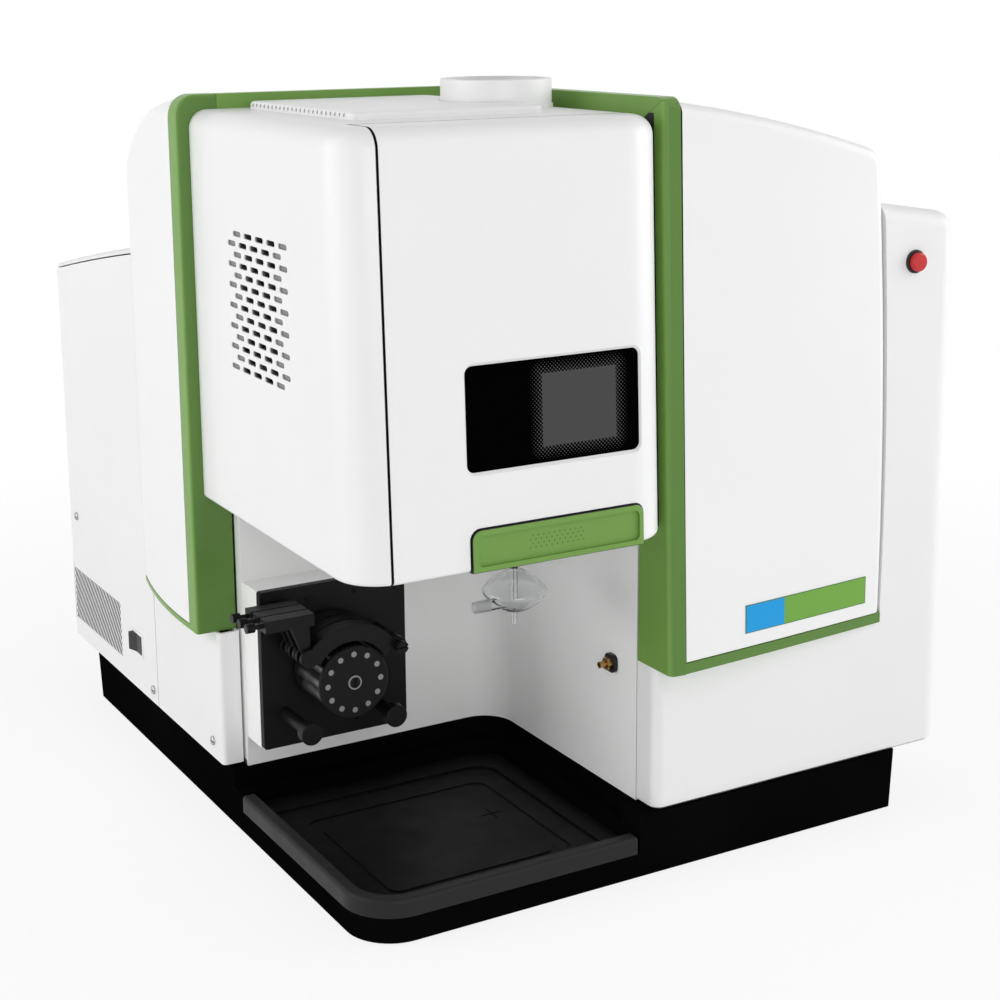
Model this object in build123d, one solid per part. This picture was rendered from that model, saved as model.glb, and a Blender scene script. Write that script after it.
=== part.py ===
from build123d import *
import math
import os

# Benchtop plasma emission spectrometer, in millimetres: X to the right, Y to the back, Z up.
# It is drawn from the plinth's front left corner on the table, and moved to its own origin,
# the middle of its footprint on the table, when each piece is written.

# Driving sizes of the whole
plinth_length = 597
plinth_depth = 729
plinth_top = 64
body_left = -10
body_right = 659
body_back = 795
body_front_height = 628
body_mid_depth = 520
body_mid_height = 568
body_rear_height = 519
wing_bottom = 206
lean_angle = 2.2

# Sample bay, the open corner where the pump and the tray are
bay_right = 302
bay_back = 302
bay_corner = 35
bay_seam_depth = 31
pillar_front = 308
pillar_right = 12

# Torch box, which hangs over the sample bay
box_floor = 345
box_roof = 720
arch_rise = 14
arch_top = box_roof + arch_rise
box_front = -36.5
box_left = -22.5
box_left_back = -16
box_right = 298.5
box_back = 316
box_left_corner = 40
box_right_corner = 46
door_left = 13
door_depth = 50
door_gap = 1.8

# Clearances and walls
seat = 0.3
shadow_gap = 1.5
running_gap = 0.05
overrun = 5
cover_wall = 3
cover_end = 22
sheet = 2


# Solids from a few sizes

def block(x0, x1, y0, y1, z0, z1):
    low = (Align.MIN, Align.MIN, Align.MIN)
    return Pos(x0, y0, z0) * Box(x1 - x0, y1 - y0, z1 - z0, align=low)


def rod(length, radius):
    return Cylinder(radius, length, align=(Align.CENTER, Align.CENTER, Align.MIN))


def rod_x(x0, x1, y, z, radius):
    return Pos(x0, y, z) * Rot(0, 90, 0) * rod(x1 - x0, radius)


def rod_y(x, y0, y1, z, radius):
    return Pos(x, y0, z) * Rot(-90, 0, 0) * rod(y1 - y0, radius)


def rod_z(x, y, z0, z1, radius):
    return Pos(x, y, z0) * rod(z1 - z0, radius)


def outline(points):
    """A flat face through points (a, b), where a third value rounds that corner."""
    face = make_face(Polyline(*[(point[0], point[1]) for point in points], close=True))
    for point in points:
        if len(point) > 2:
            corner = face.vertices().sort_by_distance((point[0], point[1], 0))[0]
            face = fillet(corner, point[2])
    return face


def plan_prism(points, z0, z1):
    return extrude(Pos(0, 0, z0) * outline(points), amount=z1 - z0)


def side_prism(points, x0, x1):
    return extrude(Plane.YZ.offset(x0) * outline(points), amount=x1 - x0)


def front_prism(points, y0, y1):
    return extrude(Plane.XZ.offset(-y1) * outline(points), amount=y1 - y0)


def edges_at(solid, axis, places):
    """The edges along an axis that lie nearest to the places across that axis."""
    found = []
    for place in places:
        def away(edge):
            middle = edge.center()
            if axis == Axis.Z:
                return math.dist((middle.X, middle.Y), place)
            if axis == Axis.Y:
                return math.dist((middle.X, middle.Z), place)
            return math.dist((middle.Y, middle.Z), place)
        found.append(min(solid.edges().filter_by(axis), key=away))
    return found


def rounded(solid, axis, places, radius):
    return fillet(edges_at(solid, axis, places), radius)


def leaned(shape):
    """Lean a shape back about the lower front edge of the torch box."""
    pivot = Pos(0, box_front, box_floor)
    back = Pos(0, -box_front, -box_floor)
    return pivot * Rot(-lean_angle, 0, 0) * back * shape


def slot_y(x0, x1, y, z, length, height):
    """A round-ended slot through a wall square to X."""
    half = (length - height) / 2
    body = block(x0, x1, y - half, y + half, z - height / 2, z + height / 2)
    ends = rod_x(x0, x1, y - half, z, height / 2) + rod_x(x0, x1, y + half, z, height / 2)
    return body + ends


parts = {}

# Base plinth: a black moulding that flares out a little to its top
plinth_rim = 2
plinth_flare = 2.5
plinth_wall = 6
plinth_corner = 46
plinth_small_corner = 4
tray_shelf = 27
ledge_height = 45
cheek_left = 284
cheek_depth = 30
shelf_back = 282
shelf_corner = 26
foot_inset = 64
foot_pad_radius = 20
foot_pad_height = 8
foot_stud_radius = 4
foot_stud_height = 12
foot_boss_radius = 10


def plinth_plan(inset):
    corner = plinth_corner - inset
    small = plinth_small_corner
    right = plinth_length - inset
    back = plinth_depth - inset
    return [(inset, inset, corner), (right, inset, small), (right, back, small), (inset, back, small)]


plinth = extrude(Pos(0, 0, plinth_rim) * outline(plinth_plan(0)),
                 amount=plinth_top - plinth_rim, taper=-plinth_flare)
hollow = plan_prism(plinth_plan(plinth_wall), 0, plinth_top - plinth_wall)
hollow_cover = block(-overrun, bay_right + plinth_wall, -overrun, bay_back + plinth_wall,
                     tray_shelf - plinth_wall, plinth_top)
plinth -= hollow - hollow_cover
shelf_cut = block(-bay_corner, cheek_left, -bay_corner, shelf_back, tray_shelf, plinth_top + overrun)
shelf_cut = rounded(shelf_cut, Axis.Z, [(cheek_left, shelf_back)], shelf_corner)
bay_cut = block(-bay_corner, bay_right, cheek_depth, bay_back, ledge_height, plinth_top + overrun)
bay_cut = rounded(bay_cut, Axis.Z, [(bay_right, bay_back)], bay_corner)
plinth -= shelf_cut + bay_cut
foot_places = [(x, y) for x in (foot_inset, plinth_length - foot_inset)
               for y in (foot_inset, plinth_depth - foot_inset)]
feet = []
for x, y in foot_places:
    low_skin = x < bay_right and y < bay_back
    ceiling = (tray_shelf if low_skin else plinth_top) - plinth_wall
    plinth += rod_z(x, y, foot_pad_height, ceiling, foot_boss_radius)
    stud_top = foot_pad_height + foot_stud_height
    plinth -= rod_z(x, y, 0, stud_top + seat, foot_stud_radius + running_gap)
    pad = rod_z(x, y, 0, foot_pad_height, foot_pad_radius)
    pad = chamfer(pad.edges().group_by(Axis.Z)[-1], foot_pad_height / 4)
    feet.append(pad + rod_z(x, y, foot_pad_height, stud_top, foot_stud_radius))
parts["base_plinth"] = plinth
parts["levelling_feet"] = Compound(children=feet)

# Drip tray: a black basin with a thick rim that stands proud of the plinth
tray_overhang = 3
tray_bottom = tray_shelf + seat
tray_top = 44.5
tray_right = cheek_left - shadow_gap
tray_back = shelf_back - shadow_gap
tray_rim_round = 4
tray_rim = 9
tray_ledge = 32.5
basin_floor = 30
basin_right_margin = 22
basin_back_margin = 30
basin_corner = 25
basin_small_corner = 6
groove_left = 36
groove_right = 235
groove_front = 32
groove_back = 218
groove_width = 9
groove_far_width = 18
groove_corner = 16
groove_depth = 1.2
cross_x = 205
cross_y = 142
cross_arm = 12
cross_width = 1.6

tray = plan_prism([(-tray_overhang, -tray_overhang, plinth_corner + tray_overhang),
                   (tray_right, -tray_overhang, tray_rim_round),
                   (tray_right, tray_back, shelf_corner - shadow_gap),
                   (-tray_overhang, tray_back, tray_rim_round)], tray_bottom, tray_top)
tray = fillet(tray.edges().group_by(Axis.Z)[-1], tray_rim_round)
rim_corner = plinth_corner - tray_rim
basin_right = tray_right - basin_right_margin
basin_back = tray_back - basin_back_margin
tray -= plan_prism([(tray_rim, tray_rim, rim_corner), (tray_right + overrun, tray_rim),
                    (tray_right + overrun, tray_back + overrun), (tray_rim, tray_back + overrun)],
                   tray_ledge, tray_top + overrun)
tray -= plan_prism([(tray_rim, tray_rim, rim_corner), (basin_right, tray_rim, basin_small_corner),
                    (basin_right, basin_back, basin_corner), (tray_rim, basin_back, basin_small_corner)],
                   basin_floor, tray_ledge + overrun)


def groove_prism(near, far):
    """A rounded block down to the foot of the groove, drawn in from its outer edge."""
    corner = groove_corner - near / 2
    return plan_prism([(groove_left + near, groove_front + near, corner),
                       (groove_right - far, groove_front + near, corner),
                       (groove_right - far, groove_back - far, corner),
                       (groove_left + near, groove_back - far, corner)], basin_floor - groove_depth, tray_top)


tray -= groove_prism(0, 0) - groove_prism(groove_width, groove_far_width)
half_cross = cross_width / 2
tray -= block(cross_x - cross_arm, cross_x + cross_arm, cross_y - half_cross, cross_y + half_cross,
              basin_floor - groove_depth, tray_top)
tray -= block(cross_x - half_cross, cross_x + half_cross, cross_y - cross_arm, cross_y + cross_arm,
              basin_floor - groove_depth, tray_top)
parts["drip_tray"] = tray

# Chassis frame: folded steel deck, bulkheads and optics shelf, welded into one
deck_top = plinth_top + 5
panel_bottom = deck_top - sheet
deck_margin = cover_wall + seat
liner_wall = 3
liner_left = 14
bulkhead_drop = 20
bulkhead_front = box_back + seat
bulkhead_back = bulkhead_front + sheet
side_bulkhead_left = bay_right + liner_wall + seat
side_bulkhead_right = side_bulkhead_left + sheet
bulkhead_top = box_roof - bulkhead_drop
body_corner = 15
column_corner = 20
front_edge_round = 10
shelf_level = 225
shelf_front = 60
shelf_rear = 500
wing_right = 571.6
column_left = wing_right + shadow_gap
motor_radius = 28
motor_hole_radius = motor_radius + shadow_gap
pump_x = 83.4
pump_z = 174.2

pillar_return = pillar_front + cover_end + seat
deck = plan_prism([(side_bulkhead_left, deck_margin, front_edge_round),
                   (body_right - deck_margin, deck_margin, column_corner - deck_margin),
                   (body_right - deck_margin, body_back - deck_margin, body_corner - deck_margin),
                   (body_left + deck_margin, body_back - deck_margin, body_corner - deck_margin),
                   (body_left + deck_margin, pillar_return), (liner_left, pillar_return),
                   (liner_left, bay_back + liner_wall + seat),
                   (side_bulkhead_left, bay_back + liner_wall + seat)], plinth_top, deck_top)
rear_bulkhead = block(liner_left, side_bulkhead_right, bulkhead_front, bulkhead_back, deck_top, bulkhead_top)
side_bulkhead = block(side_bulkhead_left, side_bulkhead_right, bay_seam_depth + overrun, bulkhead_back,
                      deck_top, bulkhead_top)
shelf_right = column_left - overrun
shelf = block(side_bulkhead_right, shelf_right, shelf_front, shelf_rear, shelf_level - cover_wall, shelf_level)
shelf_legs = (block(side_bulkhead_right, shelf_right, shelf_front, shelf_front + sheet, deck_top, shelf_level)
              + block(side_bulkhead_right, shelf_right, shelf_rear - sheet, shelf_rear, deck_top, shelf_level))
frame = deck + rear_bulkhead + side_bulkhead + shelf + shelf_legs
frame -= rod_y(pump_x, bulkhead_front - overrun, bulkhead_back + overrun, pump_z, motor_hole_radius)

# Sample bay liner: a moulded wall round the back and right of the bay
gas_port_y = 73
gas_port_z = 191
gas_stem_radius = 4.5


def liner_plan(inset, end):
    far_x = bay_right + liner_wall - inset
    far_y = bay_back + liner_wall - inset
    left = liner_left - end
    front = bay_seam_depth + shadow_gap - end
    return [(left, front), (far_x, front), (far_x, far_y, bay_corner + liner_wall - inset), (left, far_y)]


liner = (plan_prism(liner_plan(0, 0), plinth_top, box_floor - seat)
         - plan_prism(liner_plan(liner_wall, overrun), 0, arch_top))
liner += block(liner_left, liner_left + liner_wall, bay_back, box_back, deck_top, box_floor - seat)
liner += block(liner_left, bay_right, bay_back, box_back, box_floor - seat - liner_wall, box_floor - seat)
liner -= rod_y(pump_x, bay_back - overrun, bay_back + overrun, pump_z, motor_hole_radius)
liner -= rod_x(bay_right - overrun, bay_right + overrun, gas_port_y, gas_port_z, gas_stem_radius + seat)
frame -= rod_x(side_bulkhead_left - overrun, side_bulkhead_right + overrun, gas_port_y, gas_port_z,
               gas_stem_radius + seat)
parts["chassis_frame"] = frame
parts["sample_bay_liner"] = liner

# Housing: one smooth body whose top falls away to the back, cut into bolted covers
top_round = 7
lip = 6
column_top_x = 575.6
column_top_z = 623.1
column_fall = 0.151
column_top_corner = 24
column_front_round = 16


def body_top(y0, y1, drop):
    """The falling top line of the housing, from its front to its back."""
    front_low = (y0, body_front_height - drop)
    middle = (body_mid_depth, body_mid_height - drop)
    rear = (y1, body_rear_height - drop)
    return ThreePointArc(front_low, middle, rear)


def under_top(drop, y0, y1, x0, x1):
    """All that lies under the top line when it is dropped by a distance."""
    top = body_top(y0, y1, drop)
    start = top @ 0
    end = top @ 1
    sides = [Line(end, (y1, 0)), Line((y1, 0), (y0, 0)), Line((y0, 0), start)]
    return extrude(Plane.YZ.offset(x0) * make_face([top] + sides), amount=x1 - x0)


def under_fall(drop, y0, y1, right, corner):
    """All that lies under the column's top, which falls away to the right."""
    far_left = body_left - overrun
    left_z = column_top_z + (column_top_x - far_left) * column_fall - drop
    right_z = column_top_z - (right - column_top_x) * column_fall - drop
    return front_prism([(far_left, 0), (right, 0), (right, right_z, corner), (far_left, left_z)], y0, y1)


def body_solid(inset):
    x0 = body_left + inset
    x1 = body_right - inset
    y1 = body_back - inset
    solid = under_top(inset, inset, y1, x0, x1)
    solid = rounded(solid, Axis.Z, [(x1, inset)], column_corner - inset)
    solid = rounded(solid, Axis.Z, [(x0, y1), (x1, y1)], body_corner - inset)
    roof = solid.faces().sort_by(Axis.Z)[-1]
    solid = fillet(roof.edges(), top_round - inset)
    fall = under_fall(inset, inset, y1, x1, column_top_corner - inset)
    crown = [edge for edge in fall.faces().sort_by(Axis.Y)[0].edges()
             if edge.bounding_box().max.Z > body_rear_height and edge.center().X > 0]
    return solid & fillet(crown, column_front_round - inset)


def below_seam(drop):
    """All that lies under a seam that runs round the housing below its top."""
    right = body_right + overrun
    low = under_top(drop, -overrun, body_back + overrun, body_left - overrun, right)
    return low & under_fall(drop, -overrun, body_back + overrun, right, lip)


skin = body_solid(0) - body_solid(cover_wall)
below_lip = below_seam(lip + shadow_gap)
wing_back = 518
service_seam = 495
standing = block(body_left - overrun, body_right + overrun, -overrun, body_back + overrun, panel_bottom,
                 arch_top)
sides = skin & below_lip & standing

# Left side panel, with its fine cooling slots
vent_front = 612
vent_rear_margin = 2
vent_low = 89.5
vent_high = 152.5
vent_pitch = 4.95
vent_slot_width = 2.7
vent_lean = 33.8
vent_wall = 1.2
switch_y = 557
switch_z = 122
switch_length = 36
switch_height = 26

left_side = sides & block(body_left - overrun, body_left + cover_end, service_seam + shadow_gap,
                          body_back + overrun, 0, arch_top)
vent_rear = body_back - body_corner - vent_rear_margin
vent_shift = (vent_high - vent_low) * math.tan(math.radians(vent_lean))
slots = []
for step in range(round((vent_rear - vent_front + vent_shift) / vent_pitch)):
    y = vent_front - vent_shift + step * vent_pitch
    slots.append(side_prism([(y + vent_shift, vent_low), (y + vent_shift + vent_slot_width, vent_low),
                             (y + vent_slot_width, vent_high), (y, vent_high)],
                            body_left - overrun, body_left + cover_wall + overrun))
vent_zone = block(body_left - overrun, body_left + cover_wall + overrun, vent_front, vent_rear, vent_low,
                  vent_high)
left_side -= Compound(children=slots) & vent_zone
left_side -= block(body_left + vent_wall, body_left + cover_wall + overrun, vent_front - vent_rear_margin,
                   vent_rear, vent_low - vent_rear_margin, vent_high + vent_rear_margin)
switch_hole = block(body_left - overrun, body_left + cover_wall + overrun, switch_y - switch_length / 2,
                    switch_y + switch_length / 2, switch_z - switch_height / 2, switch_z + switch_height / 2)
left_side -= switch_hole
parts["left_side_panel"] = left_side

# Rear and right side panels
rear_margin = cover_end + shadow_gap
mains_x = 80
mains_z = 130
mains_width = 48
mains_height = 28
gas_inlet_z = 130
gas_inlet_first_x = 180
gas_inlet_pitch = 45
gas_inlet_count = 3
gas_inlet_radius = 6
rear_vent_x = 430
rear_vent_z = 200
rear_vent_pitch = 12
rear_vent_length = 120
rear_vent_height = 5
rear_vent_count = 12

rear_panel = sides & block(body_left + rear_margin, body_right - rear_margin, body_back - cover_wall - overrun,
                           body_back + overrun, 0, arch_top)
rear_panel -= block(mains_x - mains_width / 2, mains_x + mains_width / 2, body_back - overrun * 2,
                    body_back + overrun, mains_z - mains_height / 2, mains_z + mains_height / 2)
gas_inlet_xs = [gas_inlet_first_x + step * gas_inlet_pitch for step in range(gas_inlet_count)]
for x in gas_inlet_xs:
    rear_panel -= rod_y(x, body_back - overrun * 2, body_back + overrun, gas_inlet_z, gas_inlet_radius + seat)
for step in range(rear_vent_count):
    z = rear_vent_z + step * rear_vent_pitch
    rear_panel -= block(rear_vent_x - rear_vent_length / 2, rear_vent_x + rear_vent_length / 2,
                        body_back - overrun * 2, body_back + overrun, z, z + rear_vent_height)
parts["rear_panel"] = rear_panel
parts["right_side_panel"] = sides & block(body_right - cover_end, body_right + overrun,
                                          bay_seam_depth + shadow_gap, body_back + overrun, 0, arch_top)

# Right front panel: the white face under the wing and the column beside it
button_x = 602.5
button_z = 567
button_radius = 9.3
button_bezel_radius = 11.5
button_hole_radius = 10.3
wing_side_x = 569.6
wing_side_z = 483
wing_top_right = 558.7
wing_top_z = 655


def wing_side(grow):
    """The right edge of the right wing seen from the front, drawn out by a distance."""
    return ThreePointArc((wing_right + grow, wing_bottom), (wing_side_x + grow, wing_side_z),
                         (wing_top_right + grow, wing_top_z))


def wing_room(grow, y0, y1):
    """The room to the left of the right wing's edge, above the wing's foot."""
    side = wing_side(grow)
    top = side @ 1
    left = bay_right - overrun
    face = make_face([side, Line(top, (top.X, arch_top)), Line((top.X, arch_top), (left, arch_top)),
                      Line((left, arch_top), (left, wing_bottom)), Line((left, wing_bottom), side @ 0)])
    return extrude(Plane.XZ.offset(-y1) * face, amount=y1 - y0)


front_plan = [(bay_right, bay_seam_depth), (bay_right, 0, front_edge_round), (body_right, 0, column_corner),
              (body_right, bay_seam_depth)]
front_shell = (plan_prism(front_plan, panel_bottom, wing_bottom)
               - plan_prism([(bay_right + cover_wall, bay_seam_depth + overrun),
                             (bay_right + cover_wall, cover_wall, front_edge_round - cover_wall),
                             (body_right - cover_wall, cover_wall, column_corner - cover_wall),
                             (body_right - cover_wall, bay_seam_depth + overrun)], 0, wing_bottom))
column_room = wing_room(shadow_gap, -overrun, bay_seam_depth + overrun)
column_zone = block(bay_right, body_right + overrun, -overrun, bay_seam_depth, wing_bottom, arch_top)
front_shell += (skin & column_zone) - column_room
front_shell += (wing_room(shadow_gap + cover_wall, 0, bay_seam_depth) - column_room) & body_solid(0)
front_shell -= rod_y(button_x, -overrun, cover_wall + overrun, button_z, button_hole_radius + seat)
parts["right_front_panel"] = front_shell

# Lower left cover: the narrow pillar and the service panel behind it
pillar_round = 5
lower_left = plan_prism([(body_left, pillar_front, pillar_round), (pillar_right, pillar_front, cover_wall / 2),
                         (pillar_right, service_seam), (body_left, service_seam)], panel_bottom,
                        wing_bottom - seat)
lower_left -= plan_prism([(body_left + cover_wall, pillar_front + cover_wall),
                          (pillar_right - cover_wall, pillar_front + cover_wall),
                          (pillar_right - cover_wall, service_seam + overrun),
                          (body_left + cover_wall, service_seam + overrun)], 0, arch_top)
lower_left -= block(body_left + cover_wall, pillar_right + overrun, pillar_front + cover_end,
                    service_seam + overrun, 0, arch_top)
parts["lower_left_cover"] = lower_left

# Upper housing: the wings and roof round the torch box
wing_face = -25
wing_bulge = 19
wing_corner = 22
wing_rear_corner = 25
roof_round = 10
crown_radius = 470
crown_centre_y = 239
crown_front = 331
crown_drop = 2.5
crown_blend = 150
slope_left_x = 322
slope_left_drop = 5
slope_mid_x = 433
slope_mid_drop = 25.3
slope_right_drop = 59
leg_width = 16.5
leg_back = 30
leg_round = 6
arch_corner = 13
trim_height = 10
left_trim_height = 5
wing_seam = 1.2
wing_low = wing_bottom + trim_height + wing_seam
left_wing_low = wing_bottom + left_trim_height + wing_seam
leg_left_back = 336
leg_left_round = 3.5
arch_left_corner = 20
wing_mid_y = 430
wing_mid_x = -25
wing_mid_face_x = 430
wing_mid_face = -15.6
wing_end_face = -2.5
wing_top_mid_face = -3.8
wing_top_end_face = 1
crown_height = arch_top - crown_drop
slope_left_z = arch_top - slope_left_drop
slope_mid_z = arch_top - slope_mid_drop
slope_right_z = arch_top - slope_right_drop


lean_vector = (0, math.sin(math.radians(lean_angle)), math.cos(math.radians(lean_angle)))
leg_right = bay_right + leg_width
right_cover_left = leg_right + wing_seam
arch_back = 331


def under_crown(inset, low, x0, x1):
    """All that lies under the crowned roof line, seen from the side."""
    centre_z = crown_height - math.sqrt(crown_radius ** 2 - (crown_front - crown_centre_y) ** 2)
    back = wing_back - inset

    def crown_at(y):
        return (y, centre_z + math.sqrt((crown_radius - inset) ** 2 - (y - crown_centre_y) ** 2))

    start = crown_at(crown_front)
    finish = crown_at(back)
    ahead = box_front * 2
    rest = [Line(finish, (back, low)), Line((back, low), (ahead, low)),
            Line((ahead, low), (ahead, start[1])), Line((ahead, start[1]), start)]
    face = make_face([ThreePointArc(start, crown_at((crown_front + back) / 2), finish)] + rest)
    corner = face.vertices().sort_by_distance((back, finish[1], 0))[0]
    face = fillet(corner, wing_rear_corner - inset)
    corner = face.vertices().sort_by_distance((start[0], start[1], 0))[0]
    return extrude(Plane.YZ.offset(x0) * fillet(corner, crown_blend), amount=x1 - x0)


def ahead_of_wing(left_y, middle_y, right_y, z):
    """The flat region in front of the right wing's bowed face at one height."""
    right = wing_right + overrun
    left = bay_right - overrun
    ahead = box_front * 3
    line = ThreePointArc((left, left_y), (wing_mid_face_x, middle_y), (right, right_y))
    return Pos(0, 0, z) * make_face([line, Line(line @ 1, (right, ahead)), Line((right, ahead), (left, ahead)),
                                     Line((left, ahead), line @ 0)])


def right_wing(inset):
    """The right wing: its roof falls to the right, and its bowed front leans back."""
    side = wing_side(-inset)
    left = right_cover_left - inset * 2
    top_right = (wing_top_right - inset, slope_right_z - inset)
    slope = ThreePointArc((slope_left_x, slope_left_z - inset), (slope_mid_x, slope_mid_z - inset), top_right)
    rest = [Line(top_right, side @ 1), side, Line(side @ 0, (left, wing_bottom)),
            Line((left, wing_bottom), (left, slope_left_z - inset)), Line((left, slope_left_z - inset), slope @ 0)]
    face = make_face([slope] + rest)
    corner = face.vertices().sort_by_distance((top_right[0], top_right[1], 0))[0]
    face = fillet(corner, wing_corner - inset)
    solid = extrude(Plane.XZ.offset(-wing_back - overrun) * face, amount=wing_back + overrun - box_front * 2)
    top_face = wing_face + (arch_top - wing_bottom) * math.tan(math.radians(lean_angle))
    solid -= loft([ahead_of_wing(wing_face + inset, wing_mid_face + inset, wing_end_face + inset, wing_bottom),
                   ahead_of_wing(top_face + inset, wing_top_mid_face + inset, wing_top_end_face + inset,
                                 arch_top + overrun)], ruled=True)
    if inset == 0:
        edges = solid.faces().sort_by(Axis.Y)[0].edges()
        low_limit = slope_right_z - wing_corner - overrun
        solid = fillet([edge for edge in edges if edge.bounding_box().min.Z > low_limit], roof_round)
    return solid & under_crown(inset, wing_low, left - overrun, wing_right + overrun)


def left_wing(inset):
    """The left wing, which bows out, with the strip of roof behind the torch box."""
    outer_x = body_left - wing_bulge + inset
    rear_x = body_left + inset
    front = arch_back
    side_line = ThreePointArc((outer_x, leg_left_back), (wing_mid_x + inset, wing_mid_y), (rear_x, wing_back))
    rest = [Line(side_line @ 1, (leg_right, wing_back)), Line((leg_right, wing_back), (leg_right, front)),
            Line((leg_right, front), (outer_x, front)), Line((outer_x, front), side_line @ 0)]
    solid = extrude(Pos(0, 0, left_wing_low) * make_face([side_line] + rest), amount=arch_top)
    solid &= front_prism([(outer_x, left_wing_low), (leg_right, left_wing_low), (leg_right, slope_left_z - inset),
                          (outer_x, crown_height - inset, arch_left_corner - inset)], 0, wing_back)
    return solid & under_crown(inset, left_wing_low, outer_x - overrun, leg_right)


wing_rear_hidden = block(body_left + cover_wall, column_left - cover_wall, wing_back - cover_wall - seat,
                         wing_back + overrun, 0, body_mid_height - lip)
parts["right_wing_cover"] = right_wing(0) - right_wing(cover_wall) - wing_rear_hidden
arch_room = block(body_left - wing_bulge - overrun, leg_right, 0, arch_back + wing_seam, 0, arch_top + overrun)
arch_room += block(body_left - wing_bulge - overrun, pillar_right + wing_seam, 0, leg_left_back + wing_seam, 0,
                   arch_top + overrun)
parts["left_wing_cover"] = left_wing(0) - left_wing(cover_wall) - wing_rear_hidden - arch_room

# Top cover: closes the housing behind the upper part and the column's front
upper_clear = block(body_left - overrun, bay_right, -overrun, wing_back + seat, 0, arch_top)
upper_clear += wing_room(seat, -overrun, wing_back + seat)
front_clear = block(body_left - overrun, body_right + overrun, -overrun, bay_seam_depth + shadow_gap, 0, arch_top)
parts["top_cover"] = skin - below_seam(lip) - upper_clear - front_clear
parts["left_side_panel"] -= block(body_left - overrun, body_left + cover_end + overrun, 0, wing_back + seat,
                                  wing_bottom + left_trim_height, arch_top)

# Green arch round the torch box: two legs that run on as trim under the wings, and a top band
band_height = 20
leg_left_front = box_back + seat
left_leg = front_prism([(body_left - wing_bulge, wing_bottom), (pillar_right, wing_bottom),
                        (pillar_right, arch_top), (body_left - wing_bulge, arch_top, arch_left_corner)],
                       leg_left_front, leg_left_back)
leg_front_edges = left_leg.faces().sort_by(Axis.Y)[0].edges()
left_leg = fillet([edge for edge in leg_front_edges if edge.center().X < body_left], leg_left_round)
trim_inner = body_left - seat
left_trim_face = make_face([ThreePointArc((body_left - wing_bulge, leg_left_back), (wing_mid_x, wing_mid_y),
                                          (trim_inner, wing_back)),
                            Line((trim_inner, wing_back), (trim_inner, leg_left_back)),
                            Line((trim_inner, leg_left_back), (body_left - wing_bulge, leg_left_back))])
left_trim = extrude(Pos(0, 0, wing_bottom) * left_trim_face, amount=left_trim_height)
left_leg += left_trim
parts["arch_left_leg"] = left_leg

band_low = arch_top - band_height
leg_top_front = wing_face + (arch_top - wing_bottom) * math.tan(math.radians(lean_angle))
mitre_run = (leg_top_front - leg_back) / band_height
arch_side = side_prism([(wing_face, wing_bottom), (arch_back, wing_bottom), (arch_back, arch_top),
                        (leg_top_front, arch_top, arch_corner)], bay_right, leg_right)
right_leg = extrude(Pos(0, 0, wing_bottom) * outline([(bay_right, wing_face + shadow_gap, leg_round),
                                                      (leg_right, wing_face), (leg_right, leg_back),
                                                      (bay_right, leg_back)]),
                    amount=arch_top, dir=lean_vector)
right_leg &= arch_side
right_leg -= block(bay_right - overrun, leg_right + overrun, leg_back, arch_back + overrun, 0, arch_top + overrun)
right_leg -= side_prism([(leg_back, band_low),
                         (leg_back + mitre_run * (band_height + overrun), arch_top + overrun),
                         (arch_back, arch_top + overrun), (arch_back, band_low)],
                        bay_right - overrun, leg_right + overrun)
face_line = ThreePointArc((bay_right, wing_face), (wing_mid_face_x, wing_mid_face), (wing_right, wing_end_face))
right_trim_face = make_face([face_line, Line(face_line @ 1, (wing_right, -seat)),
                             Line((wing_right, -seat), (bay_right, -seat)),
                             Line((bay_right, -seat), face_line @ 0)])
right_trim = extrude(Pos(0, 0, wing_bottom) * right_trim_face, amount=trim_height)
right_trim -= block(0, leg_right, box_front * 2, bay_back, 0, arch_top)
parts["arch_right_leg"] = right_leg + right_trim

band = block(pillar_right + seat, bay_right + overrun, leg_left_front, arch_back, band_low, arch_top)
arm_front = leg_back + seat * 2
band += side_prism([(arm_front, band_low), (arch_back, band_low), (arch_back, arch_top),
                    (arm_front + mitre_run * band_height, arch_top)], bay_right, leg_right) & arch_side
parts["arch_top_band"] = band

# Torch box: a white moulding with a door across its whole front
box_round = 18
floor_round = 4
vent_row_count = 14
vent_column_count = 5
vent_box_pitch_y = 26.5
vent_box_pitch_z = 9.43
vent_box_length = 19
vent_box_height = 5
vent_box_rear = 215.5
vent_box_low = 492.4
vent_blind_depth = 1.5
chimney_x = 238
chimney_y = 180
chimney_neck = 49
torch_x = 201
torch_y = 88
floor_hole_radius = 14


def box_side(y):
    """Where the left wall's outer face is: the box narrows a little to the back."""
    return box_left + (box_left_back - box_left) * (y - box_front) / (box_back - box_front)


def front_block(inset, roof_radius):
    """The torch box as one closed block, leaned back at its front."""
    left = box_left + inset
    right = box_right - inset
    front = box_front + inset
    far = box_back * 2
    plan = [(left, front, box_left_corner - inset), (right, front, box_right_corner - inset),
            (right, far), (box_side(far) + inset, far)]
    tall = leaned(plan_prism(plan, box_floor - box_round * 2, box_roof + box_round * 2))
    solid = tall & block(left - overrun, right + overrun, front - overrun, box_back - inset,
                         box_floor + inset, box_roof - inset)
    roof = solid.faces().sort_by(Axis.Z)[-1]
    rim = [edge for edge in roof.edges() if edge.center().Y < box_back - inset - overrun]
    solid = fillet(rim, roof_radius)
    if inset == 0:
        floor = solid.faces().sort_by(Axis.Z)[0]
        lower = [edge for edge in floor.edges() if edge.center().Y < box_back - inset - overrun]
        solid = fillet(lower, floor_round)
    return solid


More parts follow.
